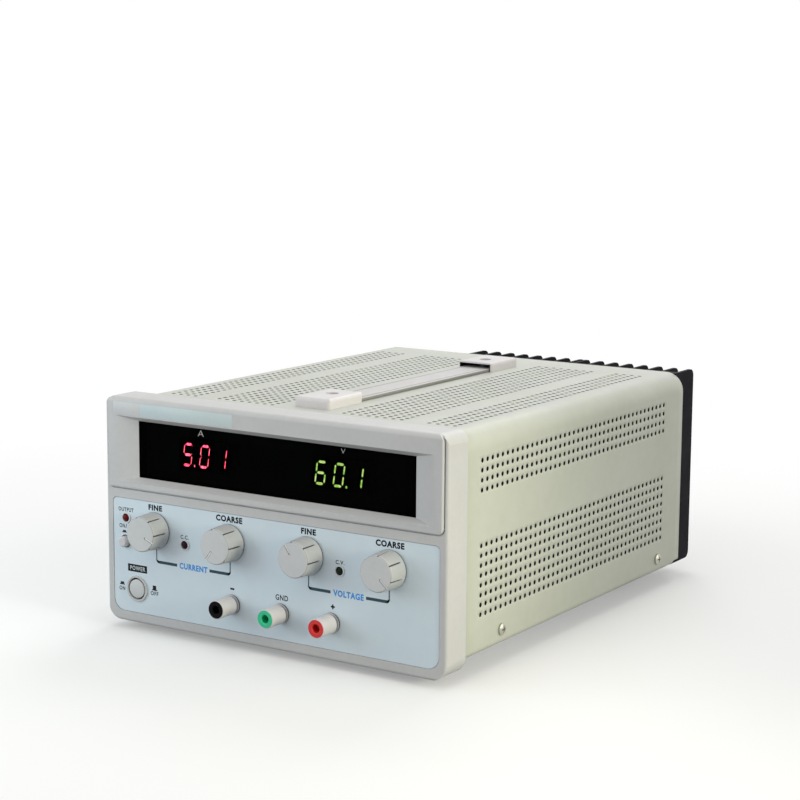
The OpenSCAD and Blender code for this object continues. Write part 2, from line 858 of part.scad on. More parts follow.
module control_knob(i) color(knob_grey) placed()
    translate([knob_x[i], 0, knob_z]) rotate([0, -pointer_turn[i], 0]) knob_shape();

module control_shaft(i) color(bare_steel) placed()
    translate([knob_x[i], 0, knob_z]) rotate([0, -pointer_turn[i], 0]) shaft_shape();

module potentiometers() color(bare_steel) placed() for (x = knob_x) translate([x, 0, knob_z]) {
    pin_reach = 4;
    difference() {
        union() {
            rod(bushing_d, panel_back, plate_back + over);
            rod(pot_d, plate_back, pot_back);
            for (i = [-1, 0, 1])
                block([i * 5 - 1, pot_back - 1, -pot_d / 2 - pin_reach], [i * 5 + 1, pot_back - 0.4, 0]);
        }
        rod(shaft_d + 2 * running_gap, 0, pot_back - 0.5);
    }
}

module pot_nuts() color(bare_steel) placed() for (x = knob_x) translate([x, 0, knob_z])
    nut(pot_nut_w, bushing_d + 2 * running_gap, plate_y - pot_nut_t, plate_y);

// Buttons, switches and lamps
module output_button() color(ivory) placed() at_output_button() {
    edge = 0.8;
    r = output_button_d / 2;
    turned() polygon([
        [0, -output_button_front], [r - edge, -output_button_front],
        [r, -output_button_front + edge], [r, output_button_back], [0, output_button_back]
    ]);
    rod(stem_d, output_button_back - 0.5, output_stem_end);
}

module output_switch() color(dark_plastic) placed()
    at_output_button() difference() {
        w = output_switch_w / 2;
        block([-w, plate_back, -w], [w, control_board_y, w]);
        rod(stem_d + 2 * stem_gap, plate_back - over, output_stem_end + output_button_travel + 0.5);
    }

module power_button() color(knob_grey) placed() at_power_button() {
    dome_r = 26;
    intersection() {
        rod(power_button_d, -power_button_front - over, power_button_back);
        translate([0, dome_r - power_button_front, 0]) sphere(dome_r, $fn = 96);
    }
    rod(power_stem_d, power_button_back - 0.5, power_stem_end);
}

module power_ring() color(light_grey) placed() at_power_button()
    difference() {
        union() {
            rod(ring_flange_d, -ring_front, panel_recess);
            rod(ring_barrel_d, 0, wall_back);
        }
        rod(ring_bore, -ring_front - over, wall_back + over);
    }

module power_switch() color(dark_plastic) placed()
    at_power_button() {
        w = power_switch_w / 2;
        difference() {
            block([-w, plate_back, -w], [w, power_switch_back, w]);
            rod(power_stem_d + 2 * gap, plate_back - over, power_stem_end + 4);
        }
        for (x = [-1, 1] * w / 2) for (z = [-1, 1] * w / 2)
            block([x - power_tag_w / 2, power_switch_back - 0.5, z - 0.4],
                [x + power_tag_w / 2, power_switch_back + power_tag_l, z + 0.4]);
    }

module signal_lamp(spot, tint) color(tint) placed() translate([spot.x, 0, spot.y]) {
    dome_y = lamp_d / 2 - lamp_tip;
    intersection() {
        rod(lamp_d, -lamp_tip, lamp_foot_y + 0.2);
        union() {
            translate([0, dome_y, 0]) sphere(d = lamp_d);
            rod(lamp_d + over, dome_y, lamp_foot_y + over);
        }
    }
    rod(lamp_foot_d, lamp_foot_y, lamp_foot_y + lamp_foot_t);
    for (x = [-1, 1] * lead_pitch / 2)
        translate([x, 0, 0]) rod(lead_d, lamp_foot_y + lamp_foot_t / 2, control_board_y);
}

module output_lamp() signal_lamp(lamp_spots()[0], [0.45, 0.10, 0.10]);

module current_lamp() signal_lamp(lamp_spots()[1], [0.35, 0.08, 0.15]);

module voltage_lamp() signal_lamp(lamp_spots()[2], [0.08, 0.32, 0.15]);

module lamp_collars() color(ivory) placed() for (spot = lamp_spots())
    translate([spot.x, 0, spot.y]) difference() {
        union() {
            rod(lamp_collar_d, -0.5, panel_recess);
            rod(lamp_barrel_d, 0, lamp_foot_y - 0.2);
        }
        rod(lamp_collar_bore, -over, lamp_foot_y + over);
    }

// Output terminals
module at_posts() placed() for (x = post_xs) translate([x, 0, post_z]) children();

module post_bases() color(dark_plastic) at_posts() difference() {
    union() {
        rod(base_d, -base_front, panel_recess);
        rod(spigot_d, 0, plate_y);
    }
    rod(stud_d + 2 * running_gap, -base_front - over, plate_y + over);
}

module post_studs() color("gold") at_posts() difference() {
    rod(stud_d, -stud_front, stud_back);
    rod(socket_d, -stud_front - over, socket_depth - stud_front);
}

module post_insulators() color(dark_plastic) at_posts() difference() {
    union() {
        rod(base_d, plate_back, insulator_back);
        rod(spigot_d, plate_y, plate_back + 0.5);
    }
    rod(stud_d + 2 * running_gap, plate_y - over, insulator_back + over);
}

module post_nuts() color("gold") at_posts() {
    nut(post_nut_w, stud_d + 2 * running_gap, insulator_back, lug_y - press_gap);
    difference() {
        union() {
            rod(post_nut_w, lug_y, lug_y + lug_t);
            block([-lug_w / 2, lug_y, -lug_reach], [lug_w / 2, lug_y + lug_t, 0]);
        }
        rod(stud_d + 2 * running_gap, lug_y - over, lug_y + lug_t + over);
        translate([0, 0, lug_w / 2 - lug_reach]) rod(lug_w / 2.5, lug_y - over, lug_y + lug_t + over);
    }
    nut(post_nut_w, stud_d + 2 * running_gap, lug_y + lug_t + press_gap, lug_y + lug_t + post_nut_t);
}

module clamp_washer(i) color(bare_steel) placed() translate([post_xs[i], 0, post_z])
    tube(washer_d, stud_d + 0.2, -washer_front, -washer_back);

module post_collar(i) color(ivory) placed() translate([post_xs[i], 0, post_z]) difference() {
    edge = 0.4;
    r = collar_d / 2;
    turned() polygon([
        [0, -collar_front], [r - edge, -collar_front], [r, -collar_front + edge],
        [r, -collar_back - edge], [r - edge, -collar_back], [0, -collar_back]
    ]);
    rod(collar_bore, -collar_front - over, 0);
    rod(insert_d, -collar_front - over, -insert_back);
}

module post_insert(i) color(post_colours[i]) placed() translate([post_xs[i], 0, post_z])
    difference() {
        mouth = 0.6;
        rod(insert_d - 2 * press_gap, -insert_front, -insert_back);
        rod(insert_bore, -insert_front - over, 0);
        turned() polygon([
            [0, -insert_front - 0.01], [insert_bore / 2 + mouth, -insert_front - 0.01],
            [insert_bore / 2, -insert_front + mouth], [0, -insert_front + mouth]
        ]);
    }

// Perforated cover
module cover_outline(grow = 0)
    soft_rect([-cover_w / 2 - grow, cover_z - grow], [cover_w / 2 + grow, cover_top + grow],
        [lower_bend_r + grow, lower_bend_r + grow, cover_r + grow, cover_r + grow]);

module cover_section() {
    slot = cover_w / 2 - flange_w;
    difference() {
        cover_outline();
        cover_outline(-sheet);
        translate([-slot, cover_z - over]) square([2 * slot, sheet + 2 * over]);
    }
}

module side_vents() {
    for (i = [0:vent_count - 1]) for (z = side_rows)
        translate([-cover_w / 2 - over, vent_y + i * vent_pitch, z])
            rotate([0, 90, 0]) cylinder(d = vent_d, h = cover_w + 2 * over);
}

module top_vents() {
    for (i = [0:vent_count - 1]) for (x = top_rows) for (side = [-1, 1])
        translate([side * x, vent_y + i * vent_pitch, cover_top - sheet - over])
            cylinder(d = vent_d, h = sheet + 2 * over);
}

module side_screw_holes(d) {
    for (y = side_screws_y) translate([-bezel_w / 2, y, side_screw_z])
        rotate([0, 90, 0]) cylinder(d = d, h = bezel_w);
}

module cover() color(olive_paint) placed() difference() {
    slab(cover_y, cover_end) cover_section();
    side_vents();
    top_vents();
    side_screw_holes(screw_hole_d);
    for (y = cap_screws_y) translate([0, y, cover_top - sheet - over])
        cylinder(d = screw_hole_d, h = sheet + 2 * over);
    block([-bezel_w / 2, cover_end - notch_l, 0], [bezel_w / 2, cover_end + over, cover_z + notch_h]);
}

// Tray, rear panel and heat sink
module chassis_tray() color(bare_steel) placed() difference() {
    union() {
        slab(tray_y, tray_end) difference() {
            soft_rect([-tray_w / 2, tray_z], [tray_w / 2, tray_top], [tray_r, tray_r, 0, 0]);
            translate([0, sheet])
                soft_rect([-tray_w / 2 + sheet, tray_z], [tray_w / 2 - sheet, tray_top + over],
                    [tray_r - sheet, tray_r - sheet, 0, 0]);
        }
        for (spot = standoff_spots) translate([spot.x, spot.y, tray_z])
            cylinder(d = standoff_d, h = sheet + standoff_h);
    }
    for (spot = standoff_spots) translate([spot.x, spot.y, tray_z - over])
        cylinder(d = plate_screw_d, h = 2 * over + sheet + standoff_h);
    side_screw_holes(screw_d + 0.2);
    for (spot = foot_spots()) translate([spot.x, spot.y, tray_z - over])
        cylinder(d = screw_hole_d, h = sheet + 2 * over);
}

function foot_spots() = [for (x = [-1, 1] * foot_x) for (y = [foot_y, foot_y + foot_span]) [x, y]];

// The sink screws' places, in X and Z
function sink_screw_spots() = [
    for (x = sink_xs) for (dx = [sink_screw_inset, sink_w - sink_screw_inset])
        for (z = sink_screw_zs) [x + dx, z]
];

module rear_panel() color(bare_steel) placed() difference() {
    union() {
        slab(rear_panel_y, case_l)
            soft_rect([-tray_w / 2, tray_z], [tray_w / 2, rear_panel_top],
                [tray_r, tray_r, rear_panel_r, rear_panel_r]);
        block([-tray_w / 2 + tray_r + 1, rear_panel_y - rear_flange, floor_z],
            [tray_w / 2 - tray_r - 1, rear_panel_y + 0.5, floor_z + sheet]);
        for (side = [0, 1]) mirror([side, 0, 0])
            block([tray_w / 2 - sheet, rear_panel_y - rear_side_flange, tray_top + 2],
                [tray_w / 2, rear_panel_y + 0.5, rear_panel_top - rear_panel_r - 2]);
    }
    for (x = sink_xs) translate([x + sink_w / 2, 0, transistor_z])
        block([-1.5 * transistor_pitch, rear_panel_y - over, -transistor_window_h / 2],
            [1.5 * transistor_pitch, case_l + over, transistor_window_h / 2]);
    for (spot = sink_screw_spots()) translate([spot.x, 0, spot.y])
        rod(screw_hole_d, rear_panel_y - over, case_l + over);
    block([-inlet_x - inlet_body_w / 2 - gap, rear_panel_y - over, inlet_z - inlet_body_h / 2 - gap],
        [-inlet_x + inlet_body_w / 2 + gap, case_l + over, inlet_z + inlet_body_h / 2 + gap]);
    for (x = [-1, 1] * inlet_screw_x) translate([-inlet_x + x, 0, inlet_z])
        rod(plate_screw_d + 0.4, rear_panel_y - over, case_l + over);
}

// One extrusion: a base with a comb of fins, its rear corners rounded off
module fin_extrusion() intersection() {
    translate([0, 0, sink_z]) linear_extrude(sink_h) {
        translate([0, case_l]) square([sink_w, sink_base]);
        for (i = [0:fin_count - 1])
            translate([i * fin_pitch, case_l]) square([fin_t, sink_base + fin_l]);
    }
    across(-over, sink_w + over)
        soft_rect([case_l, sink_z], [sink_back, sink_z + sink_h], [0, sink_r, sink_r, 0]);
}

module heat_sink() color(anodised_black) placed() difference() {
    for (x = sink_xs) translate([x, 0, 0]) fin_extrusion();
    for (spot = sink_screw_spots()) translate([spot.x, 0, spot.y])
        rod(screw_d + 0.2, case_l - over, case_l + sink_screw_depth + 0.5);
}

module pass_transistors() color(dark_plastic) placed() for (x = sink_xs) for (i = [-1, 0, 1])
    translate([x + sink_w / 2 + i * transistor_pitch, case_l - gap - transistor_t, transistor_z]) {
        lead_l = 12;
        block([-transistor_w / 2, 0, -transistor_h / 2], [transistor_w / 2, transistor_t, transistor_h / 2]);
        for (j = [-1, 0, 1])
            block([j * 5 - 0.6, 1.5, -transistor_h / 2 - lead_l], [j * 5 + 0.6, 2.3, -transistor_h / 2 + 0.5]);
    }

// Transformer
module transformer_core() color(bare_steel) placed()
    translate([-core_x - core_t / 2, core_y, core_z]) {
        u = core_unit;
        across(0, core_t) difference() {
            square([6 * u, 5 * u]);
            for (y = [u, 4 * u]) translate([y, u]) square([u, 3 * u]);
            for (y = [u / 2, 5.5 * u]) for (z = [u / 2, 4.5 * u]) translate([y, z]) circle(d = bolt_d + 0.4);
        }
    }

module transformer_coil() color(copper) placed()
    translate([-core_x, core_y + core_l / 2, core_z + core_unit + coil_gap])
        linear_extrude(3 * core_unit - 2 * coil_gap) difference() {
            x = core_t / 2 + coil_gap;
            y = core_unit + coil_gap;
            soft_rect([-x - coil_t, -y - coil_t], [x + coil_t, y + coil_t], [1, 1, 1, 1] * coil_r);
            translate([-x, -y]) square([2 * x, 2 * y]);
        }

// Feet of angle steel at the core's lower corners, and the bolts through the core
module transformer_brackets() color(bare_steel) placed() translate([-core_x, core_y, core_z]) {
    u = core_unit;
    for (side = [0, 1]) mirror([side, 0, 0]) for (y = [u / 2, 5.5 * u]) difference() {
        union() {
            block([core_t / 2 - bracket_l, y - u / 2, -bracket_t],
                [core_t / 2 + bracket_l, y + u / 2, 0]);
            block([core_t / 2, y - u / 2, -bracket_t], [core_t / 2 + bracket_t, y + u / 2, u]);
        }
        translate([0, y, u / 2]) rotate([0, 90, 0]) cylinder(d = bolt_d + 0.4, h = core_t);
    }
    for (y = [u / 2, 5.5 * u]) for (z = [u / 2, 4.5 * u])
        translate([-core_t / 2, y, z]) rotate([0, 90, 0]) {
            end = (z < u ? bracket_t : 0) + press_gap;
            head_w = 8;
            head_h = 3.5;
            translate([0, 0, -end - head_h]) cylinder(d = head_w / cos(30), h = head_h, $fn = 6);
            translate([0, 0, -end - 0.5]) cylinder(d = bolt_d, h = core_t + 2 * end + 1);
            translate([0, 0, core_t + end]) cylinder(d = head_w / cos(30), h = head_h, $fn = 6);
        }
}

// Main board and what stands on it
module main_board() color(board_green) placed() difference() {
    block([main_board_x, main_board_y, main_board_z],
        [main_board_x + main_board_w, main_board_y + main_board_l, main_board_z + board_t]);
    for (spot = standoff_spots) translate([spot.x, spot.y, main_board_z - over])
        cylinder(d = plate_screw_d + 0.4, h = board_t + 2 * over);
}

module on_board(x, y) translate([main_board_x + x, main_board_y + y, main_board_z + board_t]) children();

module smoothing_capacitors() color([0.10, 0.14, 0.32]) placed() {
    edge = 1.5;
    r = smoothing_d / 2;
    for (x = [-1, 1] * (r + 2)) for (y = [0, 1] * (smoothing_d + 4))
        on_board(main_board_w / 2 + x, capacitor_y + y) rotate_extrude($fn = 64) polygon([
            [0, 0], [r, 0], [r, smoothing_h - edge], [r - edge, smoothing_h],
            [r - 3, smoothing_h], [r - 3, smoothing_h - 0.6], [0, smoothing_h - 0.6]
        ]);
}

module range_relays() color([0.16, 0.28, 0.55]) placed() for (i = [0:2])
    on_board((i + 1) * relay_pitch, main_board_l - relay_rear_space)
        block([-relay_w / 2, -relay_l / 2, 0], [relay_w / 2, relay_l / 2, relay_h]);

module bridge_rectifier() color(dark_plastic) placed()
    translate([main_board_x + main_board_w / 3, main_board_y + main_board_l + rectifier_space, floor_z]) {
        w = rectifier_w / 2;
        tag_x = rectifier_tag_t / 2;
        tag_y = rectifier_tag_w / 2;
        difference() {
            block([-w, -w, 0], [w, w, rectifier_h]);
            translate([0, 0, -over]) cylinder(d = rectifier_bore, h = rectifier_h + 2 * over);
        }
        for (x = [-1, 1] * rectifier_tag_pitch / 2) for (y = [-1, 1] * rectifier_tag_pitch / 2)
            block([x - tag_x, y - tag_y, rectifier_h - 0.5],
                [x + tag_x, y + tag_y, rectifier_h + rectifier_tag_l]);
    }

// Mains inlet with its fuse drawer
module inlet_socket_outline() {
    c = socket_chamfer;
    w = socket_w / 2;
    polygon([[-w, 0], [w, 0], [w, socket_h - c], [w - c, socket_h], [c - w, socket_h], [-w, socket_h - c]]);
}

module pin_block(x, z, y0, y1, grow = 0)
    block([x - pin_w / 2 - grow, y0, z - grow], [x + pin_w / 2 + grow, y1, z + pin_h + grow]);

module inlet_pin_set(y0, y1, grow = 0) {
    for (x = [-1, 1] * pin_pitch) pin_block(x, pin_z, y0, y1, grow);
    pin_block(0, earth_pin_z, y0, y1, grow);
}

module inlet_body() color(dark_plastic) placed() translate([-inlet_x, 0, 0]) difference() {
    union() {
        slab(case_l, case_l + inlet_flange_t)
            soft_rect([-inlet_w / 2, inlet_z - inlet_h / 2], [inlet_w / 2, inlet_z + inlet_h / 2],
                [1, 1, 1, 1] * 3);
        block([-inlet_body_w / 2, case_l - inlet_depth, inlet_z - inlet_body_h / 2],
            [inlet_body_w / 2, case_l + over, inlet_z + inlet_body_h / 2]);
    }
    translate([0, 0, socket_z])
        slab(case_l + inlet_flange_t - socket_l, case_l + inlet_flange_t + over) inlet_socket_outline();
    inlet_pin_set(0, case_l + inlet_flange_t, pin_gap);
    block([-drawer_w / 2 - gap, drawer_y - gap, drawer_z - gap],
        [drawer_w / 2 + gap, case_l + inlet_flange_t + over, drawer_z + drawer_h + gap]);
    for (x = [-1, 1] * inlet_screw_x) translate([x, 0, inlet_z])
        rod(plate_screw_d + 0.4, case_l - over, case_l + inlet_flange_t + over);
}

module inlet_pins() color(bare_steel) placed() translate([-inlet_x, 0, 0])
    inlet_pin_set(case_l - inlet_depth - 8, case_l + inlet_flange_t - 1.5);

module fuse_drawer() color(dark_plastic) placed() translate([-inlet_x, 0, 0]) difference() {
    slab(drawer_y, drawer_y + drawer_l)
        soft_rect([-drawer_w / 2, drawer_z], [drawer_w / 2, drawer_z + drawer_h], [1, 1, 1, 1] * 0.8);
    block([-fuse_l / 2 - fuse_gap, fuse_y - fuse_d / 2 - 2 * fuse_gap, drawer_z + 2],
        [fuse_l / 2 + fuse_gap, fuse_y + fuse_d / 2 + 2 * fuse_gap, drawer_z + drawer_h + over]);
    block([-5, drawer_y + drawer_l - 2, drawer_z + drawer_h - 3],
        [5, drawer_y + drawer_l + over, drawer_z + drawer_h + over]);
}

module fuse() color("silver") placed()
    translate([-inlet_x, fuse_y, drawer_z + 2 + fuse_gap + fuse_d / 2]) rotate([0, 90, 0]) {
        translate([0, 0, -fuse_l / 2]) cylinder(d = fuse_d, h = fuse_cap_l);
        translate([0, 0, fuse_l / 2 - fuse_cap_l]) cylinder(d = fuse_d, h = fuse_cap_l);
        translate([0, 0, -fuse_l / 2 + 1]) cylinder(d = fuse_d - 0.5, h = fuse_l - 2);
    }

// Handle
module handle_cap() {
    slot_w = strap_w + 2 * slot_side_gap;
    slot_h = cap_h - cap_roof;
    difference() {
        intersection() {
            linear_extrude(cap_h) soft_rect([-cap_w / 2, 0], [cap_w / 2, cap_l], [1, 1, 1, 1] * cap_r);
            slab(0, cap_l) soft_rect([-cap_w / 2, 0], [cap_w / 2, cap_h], [0, 0, cap_r, cap_r]);
            across(-cap_w / 2, cap_w / 2) soft_rect([0, 0], [cap_l, cap_h], [0, 0, 0.8, cap_r]);
        }
        difference() {
            block([-slot_w / 2, cap_wall, -over], [slot_w / 2, cap_l + over, slot_h]);
            translate([0, cap_screw_y, -over]) cylinder(d = cap_boss_d, h = slot_h + 2 * over);
        }
        translate([0, cap_screw_y, -over]) cylinder(d = screw_hole_d, h = cap_h + 2 * over);
        translate([0, cap_screw_y, cap_seat]) cylinder(d = cap_recess_d, h = cap_h);
    }
}

// Both ends of the handle: the rear one is the front one turned round
module at_handle_ends() {
    translate([0, cap_ends_y[0], cover_top]) children();
    translate([0, cap_ends_y[1], cover_top]) mirror([0, 1, 0]) children();
}

module handle_caps() color(ivory) placed() at_handle_ends() handle_cap();

module handle_strap() color(light_grey) placed() difference() {
    z = cover_top + strap_lift;
    block([-strap_w / 2, cap_ends_y[0] + strap_end, z], [strap_w / 2, cap_ends_y[1] - strap_end, z + strap_t]);
    at_handle_ends()
        block([-strap_slot_w / 2, strap_end + strap_slot_front, -over],
            [strap_slot_w / 2, cap_screw_y + strap_slot_back, cap_h]);
}

// Screws of the case, the handle, the feet, the heat sink and the boards, with their nuts
module small_nut() difference() {
    w = 7;
    h = 3.2;
    cylinder(d = w / cos(30), h = h, $fn = 6);
    translate([0, 0, -over]) cylinder(d = screw_d + 0.2, h = h + 2 * over);
}

module case_screws() color("silver") placed() {
    for (side = [0, 1]) mirror([side, 0, 0]) for (y = side_screws_y)
        translate([cover_w / 2, y, side_screw_z]) rotate([0, 90, 0]) pan_screw(9);
    at_handle_ends() translate([0, cap_screw_y, 0]) {
        translate([0, 0, cap_seat]) pan_screw(10);
        translate([0, 0, -sheet - 3.2]) small_nut();
    }
    for (spot = foot_spots()) translate([spot.x, spot.y, 0]) {
        translate([0, 0, tray_z - foot_seat]) rotate([180, 0, 0]) pan_screw(foot_seat + 6);
        translate([0, 0, floor_z]) small_nut();
    }
    for (spot = sink_screw_spots()) translate([spot.x, rear_panel_y, spot.y])
        rotate([90, 0, 0]) pan_screw(sheet + sink_screw_depth);
    for (x = [-1, 1] * plate_screw_x) for (z = [plate_screw_low, plate_screw_high])
        translate([x, plate_back, z]) rotate([-90, 0, 0])
            pan_screw(sheet + boss_l, plate_screw_d - 2 * running_gap, 5.6);
    for (x = [-1, 1] * display_post_x) for (z = [-1, 1] * display_post_z)
        translate([x, display_board_y + board_t, window_z + z]) rotate([-90, 0, 0])
            pan_screw(board_t + 6, plate_screw_d - 2 * running_gap, 5.6);
    for (spot = standoff_spots) translate([spot.x, spot.y, main_board_z + board_t])
        pan_screw(8, plate_screw_d - 2 * running_gap, 5.6);
    for (x = [-1, 1] * inlet_screw_x)
        translate([-inlet_x + x, case_l + inlet_flange_t, inlet_z]) rotate([-90, 0, 0])
            pan_screw(inlet_flange_t + sheet + 3, plate_screw_d, 5.6);
}

module feet() color(dark_plastic) placed() for (spot = foot_spots()) translate([spot.x, spot.y, 0]) {
    taper = 1;
    edge = 1;
    r = foot_d / 2;
    head_r = screw_head_d / 2 + 0.7;
    rotate_extrude($fn = 64) polygon([
        [screw_hole_d / 2, tray_z], [r, tray_z], [r - taper, tray_z - foot_h + edge],
        [r - taper - edge, tray_z - foot_h], [head_r, tray_z - foot_h],
        [head_r, tray_z - foot_seat], [screw_hole_d / 2, tray_z - foot_seat]
    ]);
}

front_bezel();
control_panel();
display_window();
current_display();
voltage_display();
display_board();
front_plate();
control_board();
for (i = [0:3]) {
    control_knob(i);
    control_shaft(i);
}
potentiometers();
pot_nuts();
output_button();
output_switch();
power_button();
power_ring();
power_switch();
output_lamp();
current_lamp();
voltage_lamp();
lamp_collars();
post_bases();
post_studs();
post_insulators();
post_nuts();
for (i = [0:2]) {
    clamp_washer(i);
    post_collar(i);
    post_insert(i);
}
cover();
chassis_tray();
rear_panel();
heat_sink();
pass_transistors();
transformer_core();
transformer_coil();
transformer_brackets();
main_board();
smoothing_capacitors();
bridge_rectifier();
range_relays();
inlet_body();
inlet_pins();
fuse_drawer();
fuse();
handle_caps();
handle_strap();
case_screws();
feet();
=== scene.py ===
import json
import math

import bmesh
import bpy
from mathutils import Matrix, Vector


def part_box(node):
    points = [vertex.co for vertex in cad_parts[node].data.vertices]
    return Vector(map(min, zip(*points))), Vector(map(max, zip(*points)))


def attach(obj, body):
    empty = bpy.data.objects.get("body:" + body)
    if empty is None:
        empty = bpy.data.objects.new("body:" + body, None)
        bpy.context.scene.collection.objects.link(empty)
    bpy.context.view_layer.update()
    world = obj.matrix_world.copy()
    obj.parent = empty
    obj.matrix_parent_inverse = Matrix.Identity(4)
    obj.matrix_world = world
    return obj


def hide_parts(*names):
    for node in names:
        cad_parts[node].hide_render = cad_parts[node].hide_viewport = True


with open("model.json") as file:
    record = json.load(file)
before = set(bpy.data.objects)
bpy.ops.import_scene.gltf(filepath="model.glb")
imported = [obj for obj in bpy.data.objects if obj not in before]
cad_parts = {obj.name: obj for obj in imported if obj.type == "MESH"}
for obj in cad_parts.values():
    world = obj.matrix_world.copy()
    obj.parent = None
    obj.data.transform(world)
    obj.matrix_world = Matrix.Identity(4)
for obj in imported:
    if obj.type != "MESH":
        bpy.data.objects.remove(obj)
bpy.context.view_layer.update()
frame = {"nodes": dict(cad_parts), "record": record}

# Places are given in millimetres from the middle of the bezel's lower front edge
mm = 0.001
panelRecess = 0.3
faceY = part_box("control_panel")[0].y - panelRecess * mm
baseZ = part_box("front_bezel")[0].z
slotOf = {part["node"]: part["material_slot"] for part in frame["record"]["subparts"]}
bodyOf = {node: body for body, nodes in frame["record"]["behaviour"]["bodies"].items()
          for node in nodes}


def at(x, y, z):
    return Vector((x * mm, faceY + y * mm, baseZ + z * mm))


# A colour as it looks on a screen, 0 to 255, as the light value that a shader takes
def tint(red, green, blue):
    def linear(value):
        share = value / 255
        return share / 12.92 if share <= 0.04045 else ((share + 0.055) / 1.055) ** 2.4
    return (linear(red), linear(green), linear(blue), 1)


def newObject(name, data):
    made = bpy.data.objects.new(name, data)
    bpy.context.scene.collection.objects.link(made)
    return made


def newMesh(name, bm):
    mesh = bpy.data.meshes.new(name)
    bm.to_mesh(mesh)
    bm.free()
    return mesh


# Camera

cameraLook = {
    "place": (710.7, -952.6, 346.8),
    "azimuth": 32.84,  # degrees round from straight in front, towards the right
    "elevation": 9.12,
    "roll": 0.41,
    "lens": 89.15,
    "sensor": 36,
    "nearest": 0.01,
}


def addCamera():
    look = cameraLook
    data = bpy.data.cameras.new("photo_camera")
    data.lens = look["lens"]
    data.sensor_width = look["sensor"]
    data.clip_start = look["nearest"]
    camera = newObject("photo_camera", data)
    turn = Matrix.Rotation(math.radians(look["azimuth"]), 4, "Z")
    turn @= Matrix.Rotation(math.radians(90 - look["elevation"]), 4, "X")
    turn @= Matrix.Rotation(math.radians(look["roll"]), 4, "Z")
    camera.matrix_world = Matrix.Translation(at(*look["place"])) @ turn
    bpy.context.scene.camera = camera


# Shader helpers

# A node with its inputs set, or linked where the value is another node's socket
def shaderNode(tree, kind, inputs=None, **settings):
    node = tree.nodes.new("ShaderNode" + kind)
    for key, value in settings.items():
        setattr(node, key, value)
    for key, value in (inputs or {}).items():
        if isinstance(value, bpy.types.NodeSocket):
            tree.links.new(value, node.inputs[key])
        else:
            node.inputs[key].default_value = value
    return node


def objectPlace(tree):
    return shaderNode(tree, "TexCoord").outputs["Object"]


def noiseValue(tree, place, scale, detail):
    return shaderNode(tree, "TexNoise", {
        "Vector": place, "Scale": scale, "Detail": detail,
    }).outputs[0]


def mathNode(tree, operation, first, second=0.0):
    return shaderNode(tree, "Math", {0: first, 1: second}, operation=operation).outputs[0]


def mapRange(tree, value, low=0.0, high=1.0, toLow=0.0, toHigh=1.0):
    return shaderNode(tree, "MapRange", {
        "Value": value, "From Min": low, "From Max": high, "To Min": toLow, "To Max": toHigh,
    }).outputs[0]


def mixValue(tree, share, first, second):
    return shaderNode(tree, "Mix", {"Factor": share, "A": first, "B": second},
                      data_type="FLOAT").outputs[0]


# A colour mix has its colours at inputs 6 and 7 and its result at output 2
def mixColour(tree, share, first, second):
    return shaderNode(tree, "Mix", {0: share, 6: first, 7: second}, data_type="RGBA").outputs[2]


def addBump(tree, shader, height, strength, depth):
    bump = shaderNode(tree, "Bump", {
        "Height": height, "Strength": strength, "Distance": depth * mm,
    })
    tree.links.new(bump.outputs[0], shader["Normal"])


# inputs: name, kind and first value, outputs: name and kind
def newGroup(name, inputs, outputs):
    group = bpy.data.node_groups.new(name, "ShaderNodeTree")
    for label, kind, value in inputs:
        group.interface.new_socket(
            label, in_out="INPUT", socket_type="NodeSocket" + kind).default_value = value
    for label, kind in outputs:
        group.interface.new_socket(label, in_out="OUTPUT", socket_type="NodeSocket" + kind)
    given = group.nodes.new("NodeGroupInput").outputs
    return group, given, group.nodes.new("NodeGroupOutput").inputs


mottleShape = {
    "broadDetail": 3.0,
    "fineDetail": 2.0,
    "fineTimes": 8.0,  # how much finer the fine patches are than the broad ones
    "fineShare": 0.35,
    "range": (0.36, 0.64),  # noise values that are all light and all dark
}


# Slow and fine colour changes of one surface, as in paint and moulded plastic
def surfaceMottle():
    group, given, result = newGroup(
        "surfaceMottle",
        [("Light", "Color", tint(200, 200, 200)), ("Dark", "Color", tint(180, 180, 180)),
         ("Scale", "Float", 30.0), ("Contrast", "Float", 0.5)],
        [("Color", "Color"), ("Mask", "Float")])
    shape = mottleShape
    place = objectPlace(group)
    fineScale = mathNode(group, "MULTIPLY", given["Scale"], shape["fineTimes"])
    broad = noiseValue(group, place, given["Scale"], shape["broadDetail"])
    fine = noiseValue(group, place, fineScale, shape["fineDetail"])
    both = mixValue(group, shape["fineShare"], broad, fine)
    mask = mapRange(group, both, *shape["range"])
    share = mathNode(group, "MULTIPLY", mask, given["Contrast"])
    colour = mixColour(group, share, given["Light"], given["Dark"])
    group.links.new(colour, result["Color"])
    group.links.new(mask, result["Mask"])
    return group


grainDetail = 4.0


# Height of a fine moulded or sprayed surface
def surfaceGrain():
    group, given, result = newGroup(
        "surfaceGrain",
        [("Scale", "Float", 2000.0), ("Pebble", "Float", 0.4)],
        [("Height", "Float")])
    place = objectPlace(group)
    noise = noiseValue(group, place, given["Scale"], grainDetail)
    pebbles = shaderNode(group, "TexVoronoi", {"Vector": place, "Scale": given["Scale"]},
                         feature="SMOOTH_F1").outputs["Distance"]
    group.links.new(mixValue(group, given["Pebble"], noise, pebbles), result["Height"])
    return group


dustAndTopLightShape = {
    "facing": (0.4, 1.0),  # how far up a face looks where the mask for dust and painted top light starts and is full
    "patches": (0.35, 0.75),
    "detail": 6.0,
}
